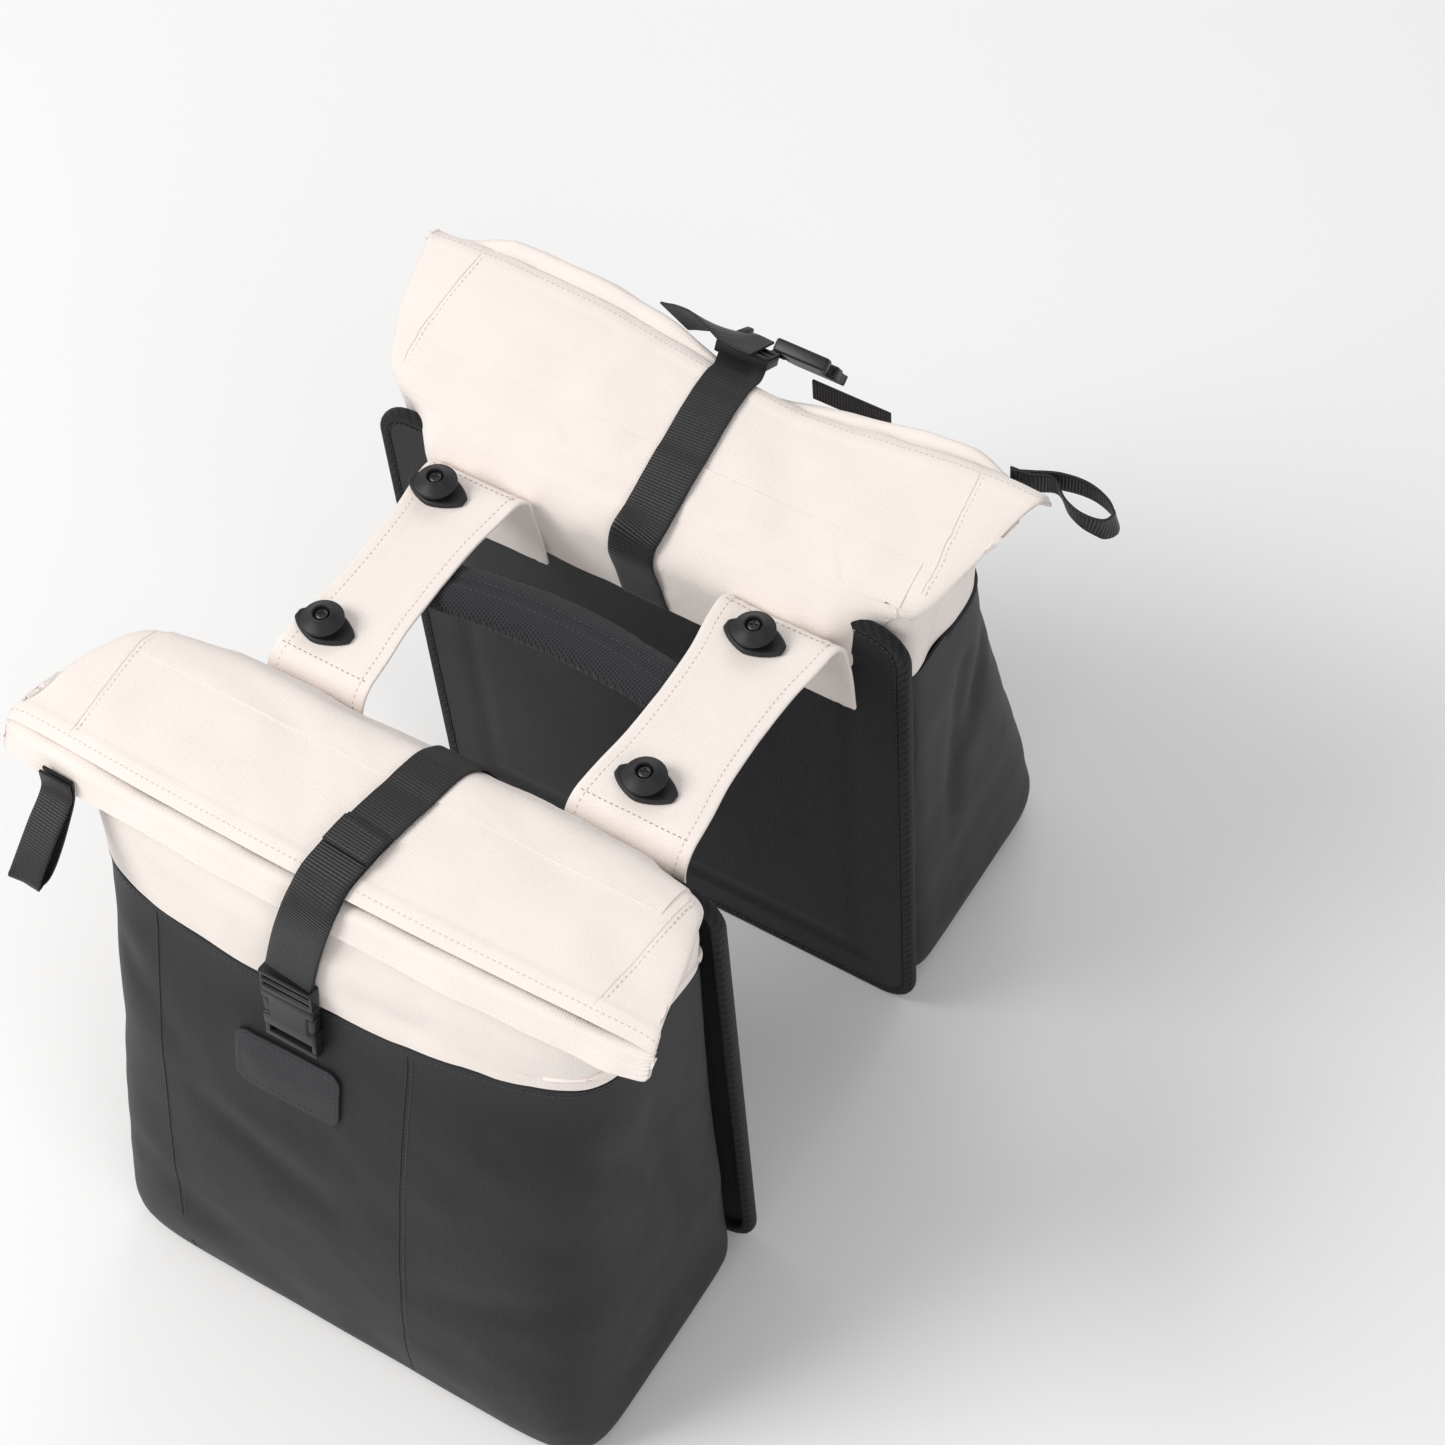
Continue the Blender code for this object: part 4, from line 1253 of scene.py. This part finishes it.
def insertPiece(name, place, side):
    w, t, length = buckle["width"], buckle["thick"], buckle["insert"]
    body = addBox((w, length, t * 0.92), (0, length / 2, 0))
    for tall, middle in ((0.0042, 0.0052), (0.0028, 0.0116)):  # where the webbing is threaded
        cutAway(body, addBox((webbing["width"] + 0.0006, tall, t * 2), (0, middle, 0)))
    rounded(body, 0.0009)
    arms = []
    for turn in (-1, 1):
        arm = addBox((0.0056, 0.0130, t * 0.74), (turn * (w / 2 - 0.0024), length + 0.0145, 0))
        taperEnd(arm, length + 0.010, length + 0.022, 0.93)
        arms.append(rounded(arm, 0.0014))
        neck = addBox((0.0040, 0.0100, t * 0.62), (turn * (w / 2 - 0.0060), length + 0.0042, 0))
        arms.append(rounded(neck, 0.0008, 2))
    bar = addBox((w * 0.98, 0.0026, t * 0.35), (0, 0.0012, t * 0.44))
    joinInto(body, arms + [rounded(bar, 0.0008, 2)])
    body.name = name
    finishBuckle(body, place, side, f"{side}_buckle_insert")


def finishBuckle(piece, place, side, node):
    piece.data.transform(place)
    for vert in piece.data.vertices:
        vert.co = toWorld(side, vert.co)
    piece.data.update()
    settle(piece, "plastic", (node,), 40)


insertPiece("rightBuckleInsert", rightPlace, "right")
socketPiece("rightBuckleSocket",
            rightPlace @ Matrix.Translation((0, buckle["insert"] + 0.0003, 0)), "right")
insertPiece("leftBuckleInsert", leftInsert, "left")
socketPiece("leftBuckleSocket", leftSocket, "left")
print("buckles made")


# Patches

patch = {"width": 0.070, "height": 0.040, "middle": 0.258, "thick": 0.0016, "radius": 0.0085,
         "u": {"right": -0.021, "left": -0.002}}


def sewnPatch(side):
    low, high = patch["middle"] - patch["height"] / 2, patch["middle"] + patch["height"] / 2
    rows = []
    for step in range(31):
        z = lerp(low, high, (1 - math.cos(math.pi * step / 30)) / 2)
        reach = max(roundedHalf(z, low, high, patch["width"] / 2, patch["radius"]),
                    patch["width"] / 2 - patch["radius"])
        row = []
        for column in range(41):
            u = patch["u"][side] + reach * (2 * column / 40 - 1)
            row.append(toWorld(side, (u, -frontAt(u, z) - 0.0018, z)))
        rows.append(row)
    tree = bodies[side]["lower"]
    for row in rows:
        for j, point in enumerate(row):
            place, normal, _, _ = tree.find_nearest(point)
            row[j] = place + normal * 0.0012
    piece = newObject(f"{side}Patch", gridMesh(rows))
    thicken(piece, patch["thick"], 0.0)
    rounded(piece, 0.0006, 2, 50)
    settle(piece, "patch", (f"{side}_patch",), 40)
    border = []
    inset = 0.0030
    half, up, radius = patch["width"] / 2 - inset, patch["height"] / 2 - inset, patch["radius"] - inset
    for u, z, turn in ((half - radius, radius - up, -90), (half - radius, up - radius, 0),
                       (radius - half, up - radius, 90), (radius - half, radius - up, 180)):
        for step in range(7):
            angle = math.radians(turn + 15 * step)
            border.append((patch["u"][side] + u + radius * math.cos(angle),
                           patch["middle"] + z + radius * math.sin(angle)))
    border.append(border[0])
    points = [toWorld(side, (u, -frontAt(u, z) - 0.0030, z)) for u, z in border]
    dense = []
    for a, b in zip(points, points[1:]):
        for step in range(6):
            dense.append(a.lerp(b, step / 6))
    stitches(f"{side}PatchStitches", [onto(treeOf(piece), dense)], "darkThread")


for bagSide in ("right", "left"):
    sewnPatch(bagSide)
print("patches made")


# Flaps over the rack

flap = {
    "rear": {"middle": -0.092, "width": 0.064}, "front": {"middle": 0.110, "width": 0.076},
    "thick": 0.0024, "top": 0.3942, "bend": 0.016, "low": 0.3192, "hem": 0.0065,
    "reach": {"right": 0.0866, "left": 0.0796}, "foot": {"right": 0.0870, "left": 0.0862},
}
flapRows = [(0.00, 0.84), (0.35, 0.87), (0.60, 0.95), (0.85, 1.00), (1.00, 1.02)]


def flapLine():
    top = flap["top"] - flap["thick"] / 2
    line = []
    for side, turn in (("right", -1), ("left", 1)):
        out = flap["reach"][side]
        half = [(turn * share * (out - flap["bend"]), top) for share in (0.30, 0.65, 1.0)]
        for step in range(1, 7):
            angle = math.radians(90 - 15 * step)
            half.append((turn * (out - flap["bend"] * (1 - math.cos(angle))),
                         top - flap["bend"] * (1 - math.sin(angle))))
        foot = flap["foot"][side]
        half.append((turn * (out + foot) / 2, (top + flap["low"]) / 2))
        half.append((turn * foot, flap["low"]))
        line = list(reversed(half)) + [(0.0, top)] if turn < 0 else line + half
    return line


def flapPiece(end):
    values = flap[end]
    path = smoothPath([(0.0, y, z) for y, z in flapLine()], 96)
    seed = 41 if end == "rear" else 47
    rows = []
    columns = 22
    for i, point in enumerate(path):
        widths = hermite([row[0] for row in flapRows], flapRows, min(abs(point.y) / 0.093, 1.0))[1]
        half = widths * values["width"] / 2
        along = alongPath(path, i)
        out = Vector((1, 0, 0)).cross(along)
        row = []
        for column in range(columns + 1):
            u = half * (2 * column / columns - 1)
            rim = half - abs(u)
            hem = 0.0005 * (1 - smoothStep(0.010, 0.0125, rim))
            groove = -0.0005 * math.exp(-((rim - flap["hem"]) / 0.0014) ** 2)
            wave = crumple((u, point.y, point.z), seed, 0.045, 0.0007)
            row.append(Vector((values["middle"] + u, point.y, point.z)) + out * (hem + groove + wave)
                       + shift)
        rows.append(row)
    piece = newObject(f"{end}Flap", gridMesh(rows))
    thicken(piece, flap["thick"], 0.0)
    rounded(piece, 0.0007, 2, 50)
    settle(piece, "canvas", (f"{end}_flap",), 45)
    length = pathLengths(path)[-1]
    tree = treeOf(piece)
    lines = []
    for column in (0, columns):
        line = []
        for row in rows[8:-8]:
            edge, inner = row[column], row[abs(column - 1)]
            line.append(edge + (inner - edge).normalized() * flap["hem"])
        lines.append(onto(tree, [point + Vector((0, 0, 0.002)) for point in line]))
    stitches(f"{end}FlapStitches", lines, "paleThread", radius=0.0003)
    stitches(f"{end}FlapNeedleHoles", lines, "warmThread", length=0.0007, radius=0.0002,
             lift=0.0002)
    crossings = []
    for side in (-1, 1):
        y = side * 0.0745
        row = []
        for column in range(41):
            x = values["middle"] + values["width"] * 0.46 * (2 * column / 40 - 1)
            row.append(Vector((x, y, flap["top"] + 0.004)) + shift)
        crossings.append(onto(tree, row))
    stitches(f"{end}FlapCrossStitches", crossings, "warmThread", radius=0.00025)


for flapEnd in ("rear", "front"):
    flapPiece(flapEnd)
print("flaps made")


# Clamp fasteners

fastener = {"plate": (0.040, 0.024, 0.003), "diameter": 0.0245, "height": 0.0105, "sides": 64,
            "screw": 0.0075}
knobProfile = [
    # radius and height, from the foot up the outside and down into the recess
    (0.68, 0.00), (0.69, 0.02), (0.70, 0.30), (0.74, 0.38), (0.94, 0.40), (0.985, 0.43), (1.00, 0.48),
    (1.00, 0.53), (0.985, 0.57), (0.92, 0.62), (0.56, 0.885), (0.53, 0.93), (0.505, 0.975),
    (0.475, 0.998), (0.44, 1.00), (0.41, 0.98), (0.395, 0.94), (0.385, 0.72), (0.36, 0.69),
]


def editAll():
    bpy.ops.object.mode_set(mode="EDIT")
    bpy.ops.mesh.select_all(action="SELECT")


def leaveEdit(piece, name):
    bpy.ops.mesh.select_all(action="SELECT")
    bpy.ops.mesh.normals_make_consistent(inside=False)
    bpy.ops.object.mode_set(mode="OBJECT")
    piece.name = name


def turnedStack(name, profile, radius, height, sides):
    # a disc drawn up through (radius, height) steps
    deselectAll()
    first = profile[0]
    bpy.ops.mesh.primitive_circle_add(vertices=sides, radius=first[0] * radius, fill_type="NGON",
                                      location=(0, 0, first[1] * height))
    piece = bpy.context.active_object
    bpy.ops.object.transform_apply(location=True, rotation=True, scale=True)
    editAll()
    for before, after in zip(profile, profile[1:]):
        bpy.ops.mesh.extrude_region_move(
            TRANSFORM_OT_translate={"value": (0, 0, (after[1] - before[1]) * height)})
        factor = after[0] / before[0]
        bpy.ops.transform.resize(value=(factor, factor, 1.0))
    bpy.ops.mesh.select_all(action="SELECT")
    bpy.ops.mesh.remove_doubles(threshold=0.000001)
    leaveEdit(piece, name)
    return piece


def plateTop(name, centre, base):
    # a lens with clipped, pointed wings
    length, width, thick = fastener["plate"]
    deselectAll()
    bpy.ops.mesh.primitive_circle_add(vertices=64, radius=1.0, fill_type="NGON")
    piece = bpy.context.active_object
    for vert in piece.data.vertices:
        across, side = squircle(math.atan2(vert.co.y, vert.co.x), 1.5)
        wing = 0.93 * length / 2
        vert.co = Vector((max(-wing, min(wing, across * length / 2)), side * width / 2, 0.0))
    editAll()
    bpy.ops.mesh.extrude_region_move(TRANSFORM_OT_translate={"value": (0, 0, thick * 0.72)})
    bpy.ops.mesh.inset(thickness=0.0012, depth=0.0)
    bpy.ops.transform.translate(value=(0, 0, thick * 0.28))
    leaveEdit(piece, name)
    piece.data.transform(Matrix.Translation((centre.x, centre.y, base)))
    return piece


def fastenerSet(end, side):
    node = f"{end}_{side}"
    low, high = cornersOf(f"{node}_plate")
    centre = (low + high) / 2
    plate = plateTop(f"{end}{side.title()}Plate", centre, low.z)
    rounded(plate, 0.0004, 2)
    settle(plate, "knob", (f"{node}_plate",), 30)

    low = cornersOf(f"{node}_knob")[0]
    knob = turnedStack(f"{end}{side.title()}Knob", knobProfile, fastener["diameter"] / 2,
                       fastener["height"], fastener["sides"])
    knob.data.transform(Matrix.Translation((centre.x, centre.y, low.z)))
    settle(knob, "knob", (f"{node}_knob",), 32)

    low = cornersOf(f"{node}_screw")[0]
    profile = [(1.0, 0.0), (1.0, 0.50), (0.96, 0.68), (0.84, 0.88), (0.60, 1.0), (0.30, 1.0)]
    screw = turnedStack(f"{end}{side.title()}Screw", profile, fastener["screw"] / 2, 0.0021, 48)
    for turn in (0, 90):
        slot = addBox((0.0010, 0.0046, 0.0016), (0, 0, 0.0021))
        slot.data.transform(Matrix.Rotation(math.radians(turn + 20), 4, "Z"))
        cutAway(screw, slot)
    screw.data.transform(Matrix.Translation((centre.x, centre.y, low.z)))
    settle(screw, "screw", (f"{node}_screw",), 30)


for flapEnd in ("rear", "front"):
    for bagSide in ("right", "left"):
        fastenerSet(flapEnd, bagSide)
print("fasteners made")


# Carry handle

handle = {"start": -0.0856, "end": 0.1024, "width": 0.042, "thick": 0.013, "middle": 0.004,
          "bow": 0.010, "cap": 0.0025, "sides": 36, "voxel": 0.0026, "groove": 0.0016,
          "seam": 0.002, "stitch": 0.0030}


def handleMiddle(share):
    return handle["middle"] + handle["bow"] * math.sin(math.pi * share)


def inflate(piece, frames, pressure, cap):
    # a short cloth run that swells the pad; no point moves further than the cap
    before = [vert.co.copy() for vert in piece.data.vertices]
    cloth = piece.modifiers.new("swell", "CLOTH")
    cloth.settings.use_pressure = True
    cloth.settings.uniform_pressure_force = pressure
    cloth.settings.effector_weights.gravity = 0.0
    cloth.settings.quality = 5
    scene = bpy.context.scene
    for number in range(1, frames + 1):
        scene.frame_set(number)
    graph = bpy.context.evaluated_depsgraph_get()
    shaped = [vert.co.copy() for vert in piece.evaluated_get(graph).data.vertices]
    piece.modifiers.remove(cloth)
    scene.frame_set(1)
    for vert, old, new in zip(piece.data.vertices, before, shaped):
        step = new - old
        vert.co = old + step * min(1.0, cap / max(step.length, 1e-9))
    piece.data.update()


def carryHandle():
    top = flap["top"] - flap["thick"] - 0.0012
    rings = []
    steps = 60
    for step in range(steps + 1):
        share = step / steps
        arch = math.sin(math.pi * share) ** 0.7 if 0 < share < 1 else 0.0
        y = handleMiddle(share)
        swell = (0.80 + 0.20 * arch) * 0.93
        middleZ = top - swell * handle["thick"] / 2 - 0.0006
        ring = []
        for turn in range(handle["sides"]):
            across, up = squircle(math.tau * turn / handle["sides"], 2.6)
            x = lerp(handle["start"], handle["end"], share)
            ring.append(Vector((x, y + across * swell * handle["width"] / 2,
                                middleZ + up * swell * handle["thick"] / 2)) + shift)
        rings.append(ring)
    bm = gridMesh(rings, closed=True)
    bm.verts.ensure_lookup_table()
    bm.faces.new(bm.verts[:handle["sides"]])
    bm.faces.new(bm.verts[-handle["sides"]:])
    bmesh.ops.recalc_face_normals(bm, faces=bm.faces)
    piece = newObject("carryHandle", bm)
    remesh = piece.modifiers.new("remesh", "REMESH")
    remesh.mode = "VOXEL"
    remesh.voxel_size = handle["voxel"]
    applyModifiers(piece)
    inflate(piece, 14, 3.0, handle["cap"])
    for vert in piece.data.vertices:
        if vert.co.z > top - 0.006:
            share = (vert.co.x - shift.x - handle["start"]) / (handle["end"] - handle["start"])
            share = min(1.0, max(0.0, share))
            seamY = shift.y + handleMiddle(share) + handle["seam"]
            away = (vert.co.y - seamY) / 0.0022
            vert.co.z -= handle["groove"] * math.exp(-away * away)
    subdivide = piece.modifiers.new("smooth", "SUBSURF")
    subdivide.levels = subdivide.render_levels = 1
    applyModifiers(piece)
    settle(piece, "handle_mesh", ("carry_handle",), 60)
    tree = treeOf(piece)
    lines = []
    for off in (-handle["stitch"], handle["stitch"]):
        points = []
        for step in range(steps + 1):
            share = step / steps
            y = handleMiddle(share) + handle["seam"] + off
            points.append(Vector((lerp(handle["start"], handle["end"], share), y, top + 0.004)) + shift)
        lines.append(onto(tree, points))
    stitches("handleStitches", lines, "darkThread")


carryHandle()
print("handle made")


# Tail end, folded back and sewn across

def tailFold():
    rows = rightTailRows[1:9]
    raised = []
    for i, row in enumerate(rows):
        up = Vector((1, 0, 0)).cross(alongPath([points[len(row) // 2] for points in rows], i))
        up = up if up.z > 0 else -up
        raised.append([toWorld("right", point + up * 0.0017) for point in row])
    piece = newObject("rightTailFold", gridMesh(raised))
    thicken(piece, webbing["thick"] * 0.9, 0.0)
    rounded(piece, 0.0004, 2, 50)
    settle(piece, "webbing", (), 40)
    tree = treeOf(piece)
    lines = []
    for pick in (1, -2):
        lines.append(onto(tree, [point + Vector((0, 0, 0.002)) for point in raised[pick]]))
    stitches("tailFoldStitches", lines, "darkThread", 0.0030, 0.0022, 0.0003)


tailFold()


# Floor, light and camera

def floorPlane():
    deselectAll()
    bpy.ops.mesh.primitive_plane_add(size=14.0, location=(0, 0, 0))
    floor = bpy.context.active_object
    floor.name = "studioFloor"
    made, tree, shader, coords = startMaterial("paleFloor", Roughness=0.9, Specular_IOR_Level=0.2)
    paint(tree, shader, "#F2F2F2", "#F6F6F6", mottle(tree, coords["Object"], 2.0, 4.0))
    floor.data.materials.append(made)


def areaLight(name, place, target, size, power, colour="#FFFFFF"):
    data = bpy.data.lights.new(name, "AREA")
    data.shape = "RECTANGLE"
    data.size, data.size_y = size
    data.energy = power
    data.color = fromHex(colour)[:3]
    lamp = bpy.data.objects.new(name, data)
    lamp.location = place
    lamp.rotation_euler = (Vector(target) - Vector(place)).to_track_quat("-Z", "Y").to_euler()
    bpy.context.scene.collection.objects.link(lamp)


def studio():
    middle = (0, 0, 0.25)
    areaLight("keyLight", (-1.7, -1.5, 2.6), middle, (1.6, 1.6), 72.0, "#FFFDFA")
    areaLight("fillLight", (2.4, -1.2, 1.9), middle, (1.8, 1.4), 18.0)
    areaLight("backLight", (-0.4, 2.4, 2.2), middle, (2.0, 1.2), 15.0)
    world = bpy.data.worlds.new("softRoom")
    world.use_nodes = True
    back = world.node_tree.nodes["Background"]
    back.inputs["Color"].default_value = fromHex("#FAFAFC")
    back.inputs["Strength"].default_value = 0.5
    bpy.context.scene.world = world
    bpy.context.scene.view_settings.view_transform = "Standard"


view = {"azimuth": 36.3, "elevation": 55.1, "roll": -5.5, "distance": 1.8114, "focal": 3333.8,
        "frame": 1445, "right": -0.1012, "up": 0.0566, "height": 0.408}


def photoCamera():
    azimuth, elevation, roll = (math.radians(view[key]) for key in ("azimuth", "elevation", "roll"))
    towards = Vector((math.sin(azimuth) * math.cos(elevation), -math.cos(azimuth) * math.cos(elevation),
                      math.sin(elevation)))
    level = Vector((math.cos(azimuth), math.sin(azimuth), 0))
    upright = towards.cross(level)
    right = math.cos(roll) * level + math.sin(roll) * upright
    up = -math.sin(roll) * level + math.cos(roll) * upright
    place = towards * view["distance"] - right * view["right"] - up * view["up"]
    data = bpy.data.cameras.new("photoCamera")
    data.sensor_width = 36
    data.lens = view["focal"] / view["frame"] * data.sensor_width
    data.clip_end = 20
    camera = bpy.data.objects.new("photoCamera", data)
    bpy.context.scene.collection.objects.link(camera)
    turn = Matrix((right, up, towards)).transposed().to_4x4()
    turn.translation = place + Vector((0, 0, view["height"])) + shift
    camera.matrix_world = turn
    bpy.context.scene.camera = camera


floorPlane()
studio()
photoCamera()
print("studio made")
